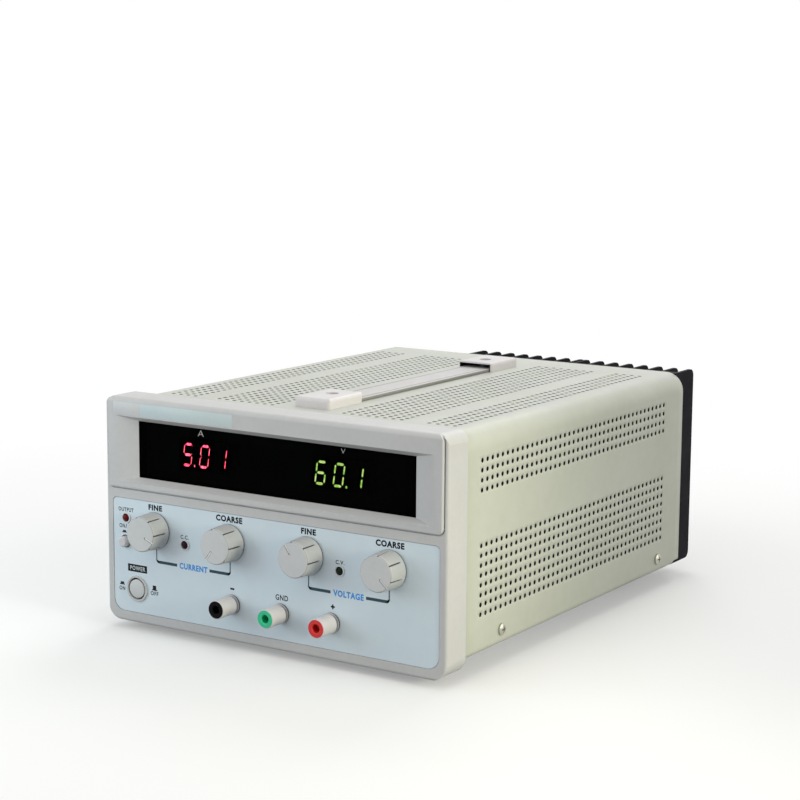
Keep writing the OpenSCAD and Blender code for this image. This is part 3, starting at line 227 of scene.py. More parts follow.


# Where dust lies: on faces that look up, in patches; where strong, as on the cover, it is mostly a
# painted tone of the top faces for the light that falls there
def dustAndTopLightFall():
    group, given, result = newGroup(
        "dustAndTopLightFall",
        [("Amount", "Float", 0.2), ("Scale", "Float", 40.0)],
        [("Mask", "Float")])
    normal = shaderNode(group, "NewGeometry").outputs["Normal"]
    up = shaderNode(group, "SeparateXYZ", {"Vector": normal}).outputs["Z"]
    facing = mapRange(group, up, *dustAndTopLightShape["facing"])
    patches = noiseValue(group, objectPlace(group), given["Scale"], dustAndTopLightShape["detail"])
    spread = mapRange(group, patches, *dustAndTopLightShape["patches"])
    lying = mathNode(group, "MULTIPLY", facing, spread)
    group.links.new(mathNode(group, "MULTIPLY", lying, given["Amount"]), result["Mask"])
    return group


hollowSkin = 0.01  # in mm, so that the wall's own face counts as inside


# 1 within a box round the Z axis with rounded upper corners: the inner side of a shell, where
# painted shade goes
def hollowInside():
    group, given, result = newGroup(
        "hollowInside",
        [("Half Width", "Float", 0.1), ("Top", "Float", 0.1), ("Low", "Float", 0.0),
         ("Radius", "Float", 0.0), ("Front", "Float", -1.0), ("Rear", "Float", 1.0)],
        [("Mask", "Float")])

    def combine(operation, first, second=0.0):
        return mathNode(group, operation, first, second)

    # how far a value lies past the start of a rounded corner
    def past(value, edge):
        start = combine("SUBTRACT", edge, given["Radius"])
        return combine("MAXIMUM", combine("SUBTRACT", value, start))

    spot = shaderNode(group, "SeparateXYZ", {"Vector": objectPlace(group)}).outputs
    beyond = past(combine("ABSOLUTE", spot["X"]), given["Half Width"])
    above = past(spot["Z"], given["Top"])
    away = combine("SQRT", combine("ADD", combine("MULTIPLY", beyond, beyond),
                                   combine("MULTIPLY", above, above)))
    within = combine("LESS_THAN", away, combine("ADD", given["Radius"], hollowSkin * mm))
    over = combine("GREATER_THAN", spot["Z"], given["Low"])
    behind = combine("GREATER_THAN", spot["Y"], given["Front"])
    before = combine("LESS_THAN", spot["Y"], given["Rear"])
    mask = combine("MULTIPLY", combine("MULTIPLY", within, over),
                   combine("MULTIPLY", behind, before))
    group.links.new(mask, result["Mask"])
    return group


# How much a face looks along the axis where its painted side shade starts and where it is full
turnedRange = (0.85, 0.4)


# Painted shade masks. Side: faces turned away from an axis. Deep: those of them that lie in a
# groove, or low at the foot
def turnedSideShade():
    group, given, result = newGroup(
        "turnedSideShade",
        [("Axis", "Vector", (0, 1, 0)), ("Centre", "Vector", (0, 0, 0)),
         ("Groove Radius", "Float", 0.0), ("Foot", "Float", 1.0)],
        [("Side", "Float"), ("Deep", "Float")])

    def vector(operation, first, second, output):
        return shaderNode(group, "VectorMath", {0: first, 1: second},
                          operation=operation).outputs[output]

    normal = shaderNode(group, "NewGeometry").outputs["Normal"]
    facing = mathNode(group, "ABSOLUTE", vector("DOT_PRODUCT", normal, given["Axis"], "Value"))
    side = mapRange(group, facing, *turnedRange)
    reach = vector("SUBTRACT", objectPlace(group), given["Centre"], "Vector")
    across = vector("CROSS_PRODUCT", reach, given["Axis"], "Vector")
    radius = vector("LENGTH", across, (0, 0, 0), "Value")
    along = vector("DOT_PRODUCT", reach, given["Axis"], "Value")
    groove = mathNode(group, "LESS_THAN", radius, given["Groove Radius"])
    foot = mathNode(group, "GREATER_THAN", along, given["Foot"])
    deep = mathNode(group, "MULTIPLY", side, mathNode(group, "MAXIMUM", groove, foot))
    group.links.new(side, result["Side"])
    group.links.new(deep, result["Deep"])
    return group


groups = {make.__name__: make()
          for make in (surfaceMottle, surfaceGrain, dustAndTopLightFall, hollowInside, turnedSideShade)}


def groupNode(tree, name, inputs):
    return shaderNode(tree, "Group", inputs, node_tree=groups[name]).outputs


def newMaterial(name):
    material = bpy.data.materials.new(name)
    material.use_nodes = True
    tree = material.node_tree
    return material, tree, tree.nodes["Principled BSDF"].inputs


usualLook = {
    "scale": 40.0,
    "contrast": 0.6,
    "dustAndTopLightColour": (196, 194, 186),
    # painted shade for the inner side of a shell
    "hollowShadeColour": (16, 16, 18),
    "grainScale": 2000.0,
    "grainStrength": 0.4,
    "grainDepth": 0.03,
    "pebble": 0.4,
    "metallic": 0.0,
    "specular": 0.5,
}


# A material of one colour pair with mottle and grain, and where asked for dust on faces that look
# up (on the cover mostly a painted tone of the top faces for the light there), painted shade on a
# shell's inner side, and painted shade on sides and in grooves
def surface(name, ownLook):
    look = {**usualLook, **ownLook}
    material, tree, shader = newMaterial(name)
    mottle = groupNode(tree, "surfaceMottle", {
        "Light": tint(*look["light"]), "Dark": tint(*look["dark"]),
        "Scale": look["scale"], "Contrast": look["contrast"],
    })
    colour = mottle["Color"]
    if "dustAndTopLight" in look:
        dustAndTopLight = groupNode(tree, "dustAndTopLightFall", {"Amount": look["dustAndTopLight"]})
        colour = mixColour(tree, dustAndTopLight["Mask"], colour, tint(*look["dustAndTopLightColour"]))
    if "hollow" in look:
        hollow = groupNode(tree, "hollowInside", look["hollow"])
        colour = mixColour(tree, hollow["Mask"], colour, tint(*look["hollowShadeColour"]))
    if "sides" in look:
        sides = groupNode(tree, "turnedSideShade", look["sides"])
        colour = mixColour(tree, sides["Side"], colour, tint(*look["sideShadeColour"]))
        colour = mixColour(tree, sides["Deep"], colour, tint(*look["deepShadeColour"]))
    tree.links.new(colour, shader["Base Color"])
    smooth, rough = look["roughness"]
    tree.links.new(mapRange(tree, mottle["Mask"], toLow=smooth, toHigh=rough), shader["Roughness"])
    grain = groupNode(tree, "surfaceGrain", {"Scale": look["grainScale"], "Pebble": look["pebble"]})
    addBump(tree, shader, grain["Height"], look["grainStrength"], look["grainDepth"])
    shader["Metallic"].default_value = look["metallic"]
    shader["Specular IOR Level"].default_value = look["specular"]
    return material


# Finishes, by the name of the part's material slot

plasticLooks = {
    "bezel_plastic": {
        "light": (200, 200, 201), "dark": (193, 193, 193), "roughness": (0.42, 0.52),
        "grainScale": 2600.0, "grainDepth": 0.02, "dustAndTopLight": 0.1},
    "panel_film": {
        "light": (216, 230, 239), "dark": (210, 224, 234), "roughness": (0.32, 0.42),
        "scale": 14.0, "grainScale": 4200.0, "grainDepth": 0.008},
    "knob_plastic": {
        "light": (208, 210, 212), "dark": (200, 202, 204), "roughness": (0.45, 0.55),
        "grainScale": 3000.0, "grainDepth": 0.02},
    "ivory_plastic": {
        "light": (216, 212, 214), "dark": (208, 204, 205), "roughness": (0.34, 0.46),
        "grainScale": 2400.0, "grainDepth": 0.015, "dustAndTopLight": 0.08},
    "black_plastic": {
        "light": (22, 22, 24), "dark": (14, 14, 16), "roughness": (0.38, 0.5),
        "grainScale": 2400.0, "grainDepth": 0.03, "specular": 0.2},
    "green_plastic": {
        "light": (38, 198, 146), "dark": (30, 182, 132), "roughness": (0.28, 0.36),
        "grainScale": 2600.0, "grainDepth": 0.01},
    "red_plastic": {
        "light": (222, 40, 40), "dark": (204, 28, 30), "roughness": (0.28, 0.36),
        "grainScale": 2600.0, "grainDepth": 0.01},
    "olive_paint": {
        "light": (198, 201, 190), "dark": (191, 194, 182), "roughness": (0.4, 0.5),
        # painted light: the strong mix towards neutral grey on faces that look up stands in for the
        # light on the top, besides a little dust
        "scale": 18.0, "grainScale": 1500.0, "grainDepth": 0.05, "pebble": 0.6, "dustAndTopLight": 0.6,
        "dustAndTopLightColour": (192, 192, 196), "specular": 0.3,
        # painted shade: the cover's inner side dark, so that the vent holes look black
        "hollow": {"Half Width": 126.94 * mm, "Top": baseZ + 144.64 * mm, "Low": baseZ + 12 * mm,
                   "Radius": 12.94 * mm, "Rear": faceY + 320.9 * mm}},
    "black_anodised": {
        "light": (14, 14, 21), "dark": (9, 9, 15), "roughness": (0.4, 0.5),
        "grainScale": 3200.0, "grainDepth": 0.02, "dustAndTopLight": 0.01, "specular": 0.03},
    "capacitor_sleeve": {"light": (34, 42, 84), "dark": (26, 33, 70), "roughness": (0.25, 0.35)},
    "relay_case": {"light": (44, 84, 150), "dark": (36, 72, 134), "roughness": (0.3, 0.4)},
    "rubber": {
        "light": (42, 42, 42), "dark": (32, 32, 33), "roughness": (0.7, 0.85),
        "grainScale": 1800.0, "grainDepth": 0.06},
}

metalLooks = {
    "zinc_sheet": {
        "light": (196, 200, 204), "dark": (168, 173, 180), "roughness": (0.32, 0.5),
        "metallic": 1.0, "scale": 60.0, "contrast": 0.9, "grainDepth": 0.01},
    "steel": {
        "light": (190, 191, 194), "dark": (164, 165, 170), "roughness": (0.25, 0.4),
        "metallic": 1.0},
    "brass": {
        "light": (214, 180, 104), "dark": (190, 152, 80), "roughness": (0.22, 0.36),
        "metallic": 1.0},
    "screw_steel": {
        "light": (214, 215, 218), "dark": (184, 186, 190), "roughness": (0.18, 0.3),
        "metallic": 1.0, "grainDepth": 0.01},
}

boardLook = {
    "lacquer": (30, 92, 56),
    "lacquerDark": (26, 84, 50),
    "track": (64, 128, 84),
    "scale": 180.0,
    "trackWidth": 0.08,
    "bump": 0.3,
    "bumpDepth": 0.03,
    "roughness": 0.35,
}


# Green circuit board: tracks under the lacquer
def boardMaterial(name):
    look = boardLook
    material, tree, shader = newMaterial(name)
    tracks = shaderNode(tree, "TexBrick", {
        "Vector": objectPlace(tree), "Color1": tint(*look["lacquer"]),
        "Color2": tint(*look["lacquerDark"]), "Mortar": tint(*look["track"]),
        "Scale": look["scale"], "Mortar Size": look["trackWidth"],
    })
    tree.links.new(tracks.outputs["Color"], shader["Base Color"])
    addBump(tree, shader, tracks.outputs["Fac"], look["bump"], look["bumpDepth"])
    shader["Roughness"].default_value = look["roughness"]
    return material


stackLooks = {
    "lamination": {
        "light": (120, 120, 124), "dark": (70, 70, 74), "direction": "X", "pitch": 0.5,
        "metallic": 0.6, "roughness": 0.5},
    "copper_winding": {
        "light": (196, 112, 64), "dark": (120, 56, 28), "direction": "Z", "pitch": 1.0,
        "metallic": 0.8, "roughness": 0.35},
}

layerShape = {
    "waveStep": 20,  # radians that a wave texture of scale 1 turns over one metre
    "distortion": 0.3,
    "detail": 1.0,
    "bump": 0.6,
    "bumpDepth": 0.1,
}


# Thin layers side by side: laminations or turns of wire
def stackMaterial(name, look):
    shape = layerShape
    material, tree, shader = newMaterial(name)
    layers = shaderNode(tree, "TexWave", {
        "Vector": objectPlace(tree),
        "Scale": 2 * math.pi / (shape["waveStep"] * look["pitch"] * mm),
        "Distortion": shape["distortion"], "Detail": shape["detail"],
    }, bands_direction=look["direction"]).outputs["Fac"]
    colour = mixColour(tree, layers, tint(*look["dark"]), tint(*look["light"]))
    tree.links.new(colour, shader["Base Color"])
    addBump(tree, shader, layers, shape["bump"], shape["bumpDepth"])
    shader["Metallic"].default_value = look["metallic"]
    shader["Roughness"].default_value = look["roughness"]
    return material


lensLook = {"rimBlend": 0.35, "roughness": 0.16, "specular": 0.1}


# Tinted lens of an unlit lamp, darker towards its rim
def lampMaterial(name, middle, rim):
    material, tree, shader = newMaterial(name)
    facing = shaderNode(tree, "LayerWeight", {"Blend": lensLook["rimBlend"]}).outputs["Facing"]
    tree.links.new(mixColour(tree, facing, tint(*middle), tint(*rim)), shader["Base Color"])
    shader["Roughness"].default_value = lensLook["roughness"]
    shader["Specular IOR Level"].default_value = lensLook["specular"]
    return material


paneLook = {
    "light": (60, 59, 62),
    "dark": (55, 54, 57),
    "scale": 20.0,
    "contrast": 0.5,
    "roughness": (0.02, 0.05),
    "bend": 1.05,  # how strongly the pane bends light
    "specular": 0.08,
}


# Dark filter pane that lets only lit digits through
def paneMaterial(name):
    look = paneLook
    material, tree, shader = newMaterial(name)
    mottle = groupNode(tree, "surfaceMottle", {
        "Light": tint(*look["light"]), "Dark": tint(*look["dark"]),
        "Scale": look["scale"], "Contrast": look["contrast"],
    })
    tree.links.new(mottle["Color"], shader["Base Color"])
    smooth, rough = look["roughness"]
    tree.links.new(mapRange(tree, mottle["Mask"], toLow=smooth, toHigh=rough), shader["Roughness"])
    shader["Transmission Weight"].default_value = 1.0
    shader["IOR"].default_value = look["bend"]
    shader["Specular IOR Level"].default_value = look["specular"]
    return material


glowGrain = {"scale": 900.0, "detail": 2.0, "range": (0.4, 0.62), "roughness": 0.4}


# Lit digit segment: a bright core shade in a fine patchy mix with its edge shade
def glowMaterial(name, core, edge, strength):
    material, tree, shader = newMaterial(name)
    noise = noiseValue(tree, objectPlace(tree), glowGrain["scale"], glowGrain["detail"])
    share = mapRange(tree, noise, *glowGrain["range"])
    colour = mixColour(tree, share, tint(*edge), tint(*core))
    tree.links.new(colour, shader["Emission Color"])
    tree.links.new(colour, shader["Base Color"])
    shader["Emission Strength"].default_value = strength
    shader["Roughness"].default_value = glowGrain["roughness"]
    return material


finish = {name: surface(name, look) for name, look in {**plasticLooks, **metalLooks}.items()}
finish["board"] = boardMaterial("board")
for name, look in stackLooks.items():
    finish[name] = stackMaterial(name, look)
finish["window_pane"] = paneMaterial("window_pane")

# Knobs and the white paint in their pointer grooves
pointer = {
    "height": 63.2,
    # place across the panel, degrees that the pointer is turned
    "knobs": {
        "current_fine": {"x": -89.4, "turn": -24},
        "current_coarse": {"x": -29.8, "turn": -128},
        "voltage_fine": {"x": 29.8, "turn": 124},
        "voltage_coarse": {"x": 89.4, "turn": -45},
    },
    "from": 4.4,
    "to": 10.6,
    "width": 0.75,
    "floor": -14.5,
    "thickness": 0.35,
    "round": 0.08,
    "grooveRadius": 11.0,  # what lies nearer to the knob's axis is in a groove and gets the darker painted shade
    "foot": -0.85,  # behind this the skirt is in its own shadow
}

capWall = 2.9  # a handle cap's end wall, a little thinner so that its inner face gets the black painted shade too
capLow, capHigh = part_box("handle_caps")

# Nodes that differ from others in their slot, and the signal lamps
ownFinish = {
    "output_lamp": lampMaterial("red_lens", (108, 9, 15), (32, 4, 8)),
    "current_lamp": lampMaterial("violet_lens", (44, 8, 28), (14, 3, 10)),
    "voltage_lamp": lampMaterial("green_lens", (10, 40, 20), (4, 14, 8)),
    "minus_insert": surface("jet_plastic", {
        "light": (12, 12, 14), "dark": (7, 7, 8), "roughness": (0.3, 0.4),
        "grainScale": 2600.0, "grainDepth": 0.01, "specular": 0.06}),
    "lamp_collars": surface("collar_plastic", {
        "light": (216, 220, 223), "dark": (208, 212, 216), "roughness": (0.4, 0.5),
        "grainDepth": 0.01}),
    "handle_strap": surface("strap_plastic", {
        **plasticLooks["bezel_plastic"], "light": (197, 195, 194), "dark": (190, 188, 187),
        # painted shade on the strap's side walls
        "sides": {"Axis": (0, 0, 1)},
        "sideShadeColour": (136, 135, 132), "deepShadeColour": (136, 135, 132)}),
    "case_screws": surface("cover_screw", {
        **metalLooks["screw_steel"], "light": (196, 195, 182), "dark": (160, 159, 146)}),
    "post_bases": surface("base_plastic", {
        **plasticLooks["ivory_plastic"],
        # painted shade: the sides a little darker, and dark at the foot where the base meets the
        # panel
        "sides": {"Axis": (0, 1, 0), "Centre": at(0, 0, 0), "Foot": -0.9 * mm},
        "sideShadeColour": (206, 203, 204), "deepShadeColour": (52, 54, 58)}),
    "handle_caps": surface("cap_plastic", {
        **plasticLooks["ivory_plastic"],
        # painted shade: the inside of the cap's slot dark
        "hollow": {"Half Width": 12.45 * mm, "Top": baseZ + 149.95 * mm,
                   "Low": baseZ + 144.75 * mm, "Radius": 0.0,
                   "Front": capLow.y + capWall * mm, "Rear": capHigh.y - capWall * mm}}),
}
for knob, own in pointer["knobs"].items():
    ownFinish[knob + "_knob"] = surface(knob + "_plastic", {
        **plasticLooks["knob_plastic"],
        # painted shade on the knob's skirt, darker in its grooves and at its foot
        "sides": {"Axis": (0, 1, 0), "Centre": at(own["x"], 0, pointer["height"]),
                  "Groove Radius": pointer["grooveRadius"] * mm, "Foot": pointer["foot"] * mm},
        "sideShadeColour": (184, 186, 188), "deepShadeColour": (70, 72, 75)})
nodeFinish = {name: ownFinish.get(name) or finish[slotOf[name]] for name in frame["nodes"]}

for name, node in frame["nodes"].items():
    for place in node.material_slots:
        place.material = nodeFinish[name]
print("finishes", len(finish) + len(ownFinish))


# Mesh helpers

def vertsOf(geom):
    return [g for g in geom if isinstance(g, bmesh.types.BMVert)]


# A block of the given size round its centre; gives its vertices
def addBlock(bm, centre, size):
    block = bmesh.ops.create_cube(bm, size=1)["verts"]
    bmesh.ops.scale(bm, vec=size, verts=block)
    bmesh.ops.translate(bm, vec=centre, verts=block)
    return block


# A thin plate between two corners, each x and z, that stands forward from the given depth
def addPlate(bm, low, high, depth, thickness):
    centre = at((low[0] + high[0]) / 2, depth - thickness / 2, (low[1] + high[1]) / 2)
    addBlock(bm, centre, ((high[0] - low[0]) * mm, thickness * mm, (high[1] - low[1]) * mm))


def roundEdges(bm, radius):
    bmesh.ops.bevel(bm, geom=bm.edges[:], offset=radius * mm, segments=2, profile=0.5,
                    affect="EDGES", material=-1)


# Gives flat faces a thickness towards the rear
def thicken(bm, faces, thickness):
    grown = bmesh.ops.extrude_face_region(bm, geom=faces)["geom"]
    bmesh.ops.translate(bm, vec=(0, thickness, 0), verts=vertsOf(grown))


# Grows a row of edges into a row of faces; gives the new vertices and the new row
def growRow(bm, row):
    grown = bmesh.ops.extrude_edge_only(bm, edges=row)["geom"]
    verts = vertsOf(grown)
    return verts, [g for g in grown if isinstance(g, bmesh.types.BMEdge)
                   and all(v in verts for v in g.verts)]


def newPiece(bm, name, body, material, smoothAngle=35, replaces=()):
    mesh = newMesh(name, bm)
    mesh.materials.append(material)
    mesh.shade_smooth()
    mesh.set_sharp_from_angle(angle=math.radians(smoothAngle))
    piece = newObject(name, mesh)
    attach(piece, body)
    if replaces:
        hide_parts(*replaces)
    return piece


# Rounded copies of the moulded parts

softEdges = {
    # node: edge radius in mm
    "front_bezel": 0.25,
    "current_fine_knob": 0.25,
    "current_coarse_knob": 0.25,
    "voltage_fine_knob": 0.25,
    "voltage_coarse_knob": 0.25,
    "output_button": 0.2,
    "power_button": 0.2,
    "power_ring": 0.2,
    "lamp_collars": 0.12,
    "minus_collar": 0.2,
    "earth_collar": 0.2,
    "plus_collar": 0.2,
    "minus_insert": 0.12,
    "earth_insert": 0.12,
    "plus_insert": 0.12,
    "post_bases": 0.15,
    "handle_caps": 0.7,
    "handle_strap": 0.5,
    "heat_sink": 0.6,
    "inlet_body": 0.3,
    "fuse_drawer": 0.2,
}

rounding = {
    "merge": 0.002,
    "flat": 0.5,  # degrees below which two faces are taken as one
    "sharp": 28,  # degrees above which an edge is rounded
    "segments": 3,
    "smooth": 40,
}


def softenEdges():
    r = rounding
    for name, radius in softEdges.items():
        bm = bmesh.new()
        bm.from_mesh(frame["nodes"][name].data)
        bmesh.ops.remove_doubles(bm, verts=bm.verts, dist=r["merge"] * mm)
        bmesh.ops.dissolve_limit(bm, angle_limit=math.radians(r["flat"]), verts=bm.verts,
                                 edges=bm.edges)
        sharp = [edge for edge in bm.edges
                 if edge.is_manifold and edge.calc_face_angle() > math.radians(r["sharp"])]
        bmesh.ops.bevel(bm, geom=sharp, offset=radius * mm, offset_type="OFFSET",
                        segments=r["segments"], profile=0.5, affect="EDGES", material=-1,
                        clamp_overlap=True)
        piece = newPiece(bm, name + "_rounded", bodyOf[name], nodeFinish[name],
                         r["smooth"], [name])
        weighted = piece.modifiers.new("even_shading", "WEIGHTED_NORMAL")
        weighted.keep_sharp = True
    print("rounded parts", len(softEdges))


# White paint in the pointer grooves of the knobs
def addPointers():
    p = pointer
    paint = surface("pointer_paint", {
        "light": (250, 250, 250), "dark": (240, 240, 240), "roughness": (0.4, 0.5),
        "scale": 300.0, "grainScale": 5000.0, "grainDepth": 0.005})
    for knob, own in p["knobs"].items():
        bm = bmesh.new()
        bar = addBlock(bm, ((p["from"] + p["to"]) / 2, p["floor"] - p["thickness"] / 2, 0),
                       (p["to"] - p["from"], p["thickness"], p["width"]))
        turn = Matrix.Rotation(math.radians(-own["turn"]), 3, "Y")
        bmesh.ops.rotate(bm, cent=(0, 0, 0), matrix=turn, verts=bar)
        bmesh.ops.scale(bm, vec=(mm, mm, mm), verts=bar)
        bmesh.ops.translate(bm, vec=at(own["x"], 0, p["height"]), verts=bar)
        roundEdges(bm, p["round"])
        newPiece(bm, knob + "_pointer", knob + "_control", paint)
    print("pointers", len(p["knobs"]))


# Perforated cover: a flat blank with its holes, folded at four bends

cover = {
    "halfWidth": 127,
    "top": 144.7,
    "bottom": 7,
    "front": 18,
    "rear": 321.3,
    "sheet": 1.2,
    "topBend": 13,
    "topBendSteps": 10,
    "lowBend": 4.4,
    "lowBendSteps": 6,
    "flange": 14,
    "pitch": 6.05,
    "hole": 2.9,
    "holeSides": 12,
    "firstHole": 42.3,
    "holesInRow": 42,
    # height of the lowest row, or the outermost row's distance from the middle, and number of rows
    "sideRows": ((31.65, 8), (107.85, 4)),
    "topRows": ((107.65, 4), (69.85, 8)),
    "notch": (7.3, 3.4),  # length and height of the corner cut at the rear
    "merge": 0.01,  # points of the blank that lie closer than this are one
    "seamMerge": 0.005,
    "smooth": 40,
}


# Where the blank is divided across its width and which stretches hold holes, from the flange's edge
def coverStations():
    c = cover
    bends = {"low": c["lowBend"] * math.pi / 2, "top": c["topBend"] * math.pi / 2}
    flat = c["flange"] - c["lowBend"]
    side = flat + bends["low"]
    turn = side + c["top"] - c["topBend"] - (c["bottom"] + c["lowBend"])
    roof = turn + bends["top"]
    middle = roof + c["halfWidth"] - c["topBend"]
    stations = [0, flat, turn, middle]
    for start, bend in ((flat, "low"), (turn, "top")):
        steps = c[bend + "BendSteps"]
        stations += [start + bends[bend] * (i + 1) / steps for i in range(steps)]
    punched = []
    rows = [(side + z - (c["bottom"] + c["lowBend"]), count) for z, count in c["sideRows"]]
    rows += [(roof + c["halfWidth"] - c["topBend"] - x, count) for x, count in c["topRows"]]
    for first, count in rows:
        for row in range(count):
            centre = first + row * c["pitch"]
            punched.append(centre)
            stations += [centre + step for step in cellSteps()]
    return sorted(set(round(s, 4) for s in stations)), punched, (flat, side, turn, roof)


# The edge points of one square cell that meet the rays of its many-sided hole
def cellSteps():
    half = cover["pitch"] / 2
    near = half * math.tan(math.pi / cover["holeSides"])
    return (-half, -near, near, half)


# One square cell round a hole, flat, as a mesh to stamp
def punchedCell():
    bm = bmesh.new()
    ring = bmesh.ops.create_circle(bm, cap_ends=False, radius=cover["hole"] / 2,
                                   segments=cover["holeSides"])["verts"]
    turn = Matrix.Rotation(math.pi / cover["holeSides"], 3, "Z")
    bmesh.ops.rotate(bm, verts=ring, cent=(0, 0, 0), matrix=turn)
    outer = bmesh.ops.extrude_edge_only(bm, edges=bm.edges[:])["geom"]
    half = cover["pitch"] / 2
    for vert in vertsOf(outer):
        vert.co *= half / max(abs(vert.co.x), abs(vert.co.y))
    return newMesh("cell", bm)


# The place of a point of the blank, u across and y along, on the folded cover's right half
def foldedPoint(u, y, folds):
    c = cover
    flat, side, turn, roof = folds
    if u <= flat:
        x, z = c["halfWidth"] - c["flange"] + u, c["bottom"]
    elif u <= side:
        angle = (u - flat) / c["lowBend"]
        x = c["halfWidth"] - c["lowBend"] + c["lowBend"] * math.sin(angle)
        z = c["bottom"] + c["lowBend"] - c["lowBend"] * math.cos(angle)
    elif u <= turn:
        x, z = c["halfWidth"], c["bottom"] + c["lowBend"] + u - side
    elif u <= roof:
        angle = (u - turn) / c["topBend"]
        x = c["halfWidth"] - c["topBend"] + c["topBend"] * math.cos(angle)
        z = c["top"] - c["topBend"] + c["topBend"] * math.sin(angle)
    else:
        x, z = c["halfWidth"] - c["topBend"] - (u - roof), c["top"]
    return at(x, y, z)


# The blank as one grid, without its holes
def flatBlank(stations, along):
    bm = bmesh.new()
    tip = bm.verts.new((stations[0], along[0], 0))
    for y in along[1:]:
        tip = bmesh.ops.extrude_vert_indiv(bm, verts=[tip])["verts"][0]
        tip.co.y = y
    row = bm.edges[:]
    for u in stations[1:]:
        verts, row = growRow(bm, row)
        for vert in verts:
            vert.co.x = u
    return bm


# Takes out the stretches that hold holes and stamps a punched cell for each hole there
def punchHoles(bm, punched, holes):
    half = cover["pitch"] / 2
    inside = []
    for face in bm.faces:
        spot = face.calc_center_median()
        if (holes[0] - half < spot.y < holes[-1] + half
                and any(abs(spot.x - u) < half for u in punched)):
            inside.append(face)
    bmesh.ops.delete(bm, geom=inside, context="FACES")
    cell = punchedCell()
    for u in punched:
        for y in holes:
            cell.transform(Matrix.Translation((u, y, 0)))
            bm.from_mesh(cell)
            cell.transform(Matrix.Translation((-u, -y, 0)))
    bpy.data.meshes.remove(cell)
    bmesh.ops.remove_doubles(bm, verts=bm.verts, dist=cover["merge"])


# Cuts the rear corner off the blank
def cutNotch(bm, side):
    c = cover
    length, height = c["notch"]
    notchY = c["rear"] - length
    notchU = side - c["lowBend"] * math.asin((c["lowBend"] - height) / c["lowBend"])
    for spot, normal in (((0, notchY, 0), (0, 1, 0)), ((notchU, 0, 0), (1, 0, 0))):
        bmesh.ops.bisect_plane(bm, geom=bm.verts[:] + bm.edges[:] + bm.faces[:], plane_co=spot,
                               plane_no=normal)
    corner = [face for face in bm.faces if face.calc_center_median().y > notchY
              and face.calc_center_median().x < notchU]
    bmesh.ops.delete(bm, geom=corner, context="FACES")


def addCover():
    c = cover
    stations, punched, folds = coverStations()
    holes = [c["firstHole"] + i * c["pitch"] for i in range(c["holesInRow"])]
    along = sorted({round(y + step, 4) for y in holes for step in cellSteps()}
                   | {c["front"], c["rear"]})
    bm = flatBlank(stations, along)
    punchHoles(bm, punched, holes)
    cutNotch(bm, folds[1])
    for vert in bm.verts:
        vert.co = foldedPoint(vert.co.x, vert.co.y, folds)
    bmesh.ops.mirror(bm, geom=bm.verts[:] + bm.edges[:] + bm.faces[:],
                     merge_dist=c["merge"] * mm, axis="X")
    bmesh.ops.remove_doubles(bm, verts=bm.verts, dist=c["seamMerge"] * mm)
    bmesh.ops.recalc_face_normals(bm, faces=bm.faces)
    roof = [f for f in bm.faces if f.calc_center_median().z > baseZ + (c["top"] - 0.1) * mm]
    if sum(f.normal.z for f in roof) < 0:
        bmesh.ops.reverse_faces(bm, faces=bm.faces)
    piece = newPiece(bm, "perforated_cover", "root", finish["olive_paint"],
                     c["smooth"], ["cover"])
    wall = piece.modifiers.new("sheet", "SOLIDIFY")
    wall.thickness = c["sheet"] * mm
    wall.offset = -1
    wall.use_even_offset = True
    print("cover", len(piece.data.polygons))


strapWelt = {"inset": 3.0, "width": 1.1, "height": 0.12, "endGap": 2, "round": 0.04}


# Thin dark welts along both edges of the handle's strap, coloured as painted shade for the dark
# lines along its edges
def addStrapWelts():
    w = strapWelt
    low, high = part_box("handle_strap")
    shade = surface("welt_painted_shade", {
        "light": (150, 148, 146), "dark": (142, 140, 138), "roughness": (0.5, 0.6),
        "grainScale": 3000.0, "grainDepth": 0.02})
    size = (w["width"] * mm, high.y - low.y - 2 * w["endGap"] * mm, w["height"] * mm)
    bm = bmesh.new()
    for way in (-1, 1):
        x = (low.x + high.x) / 2 + way * ((high.x - low.x) / 2 - w["inset"] * mm)
        addBlock(bm, (x, (low.y + high.y) / 2, high.z), size)
    roundEdges(bm, w["round"])
    newPiece(bm, "strap_welts", bodyOf["handle_strap"], shade)
    print("strap welts")


# Display

display = {
    "height": 113.7,
    "pitch": 13.4,
    "digitWidth": 8.3,
    "digitHeight": 15.2,
    "slant": 8,
    "segment": 1.7,
    "litWidth": 1.5,
    "gap": 0.45,
    "depth": 7.3,
    "thickness": 0.25,
    "dot": 1.7,
    "dotReach": 1.2,
    "dotSides": 20,
}

readings = {
    "current": {"digits": "5.01", "centre": -53.8, "slot": "red_lamp",
                "glow": ("red_glow", (255, 120, 136), (255, 50, 84), 60.0)},
    "voltage": {"digits": "60.1", "centre": 48.3, "slot": "green_lamp",
                "glow": ("green_glow", (228, 255, 150), (140, 222, 66), 18.0)},
}

litSegments = {"0": "abcdef", "1": "bc", "5": "acdfg", "6": "acdefg"}


# A bar with pointed ends, standing a little out of the digit's recess
def addSegment(bm, centre, length, upright, slant):
    half = length / 2
    t = display["litWidth"] / 2
    outline = [(-half, 0), (-half + t, t), (half - t, t),
               (half, 0), (half - t, -t), (-half + t, -t)]
    verts = []
    for a, b in outline:
        x, z = (b, a) if upright else (a, b)
        x, z = centre[0] + x, centre[1] + z
        verts.append(bm.verts.new((x + z * slant, 0, z)))
    thicken(bm, [bm.faces.new(verts)], display["thickness"])


def addDot(bm, x, z):
    disc = bmesh.ops.create_circle(bm, cap_ends=True, radius=display["dot"] / 2,
                                   segments=display["dotSides"])["verts"]
    bmesh.ops.rotate(bm, verts=disc, matrix=Matrix.Rotation(math.radians(90), 3, "X"))
    bmesh.ops.translate(bm, verts=disc, vec=(x, 0, z))
    thicken(bm, bm.faces[:], display["thickness"])


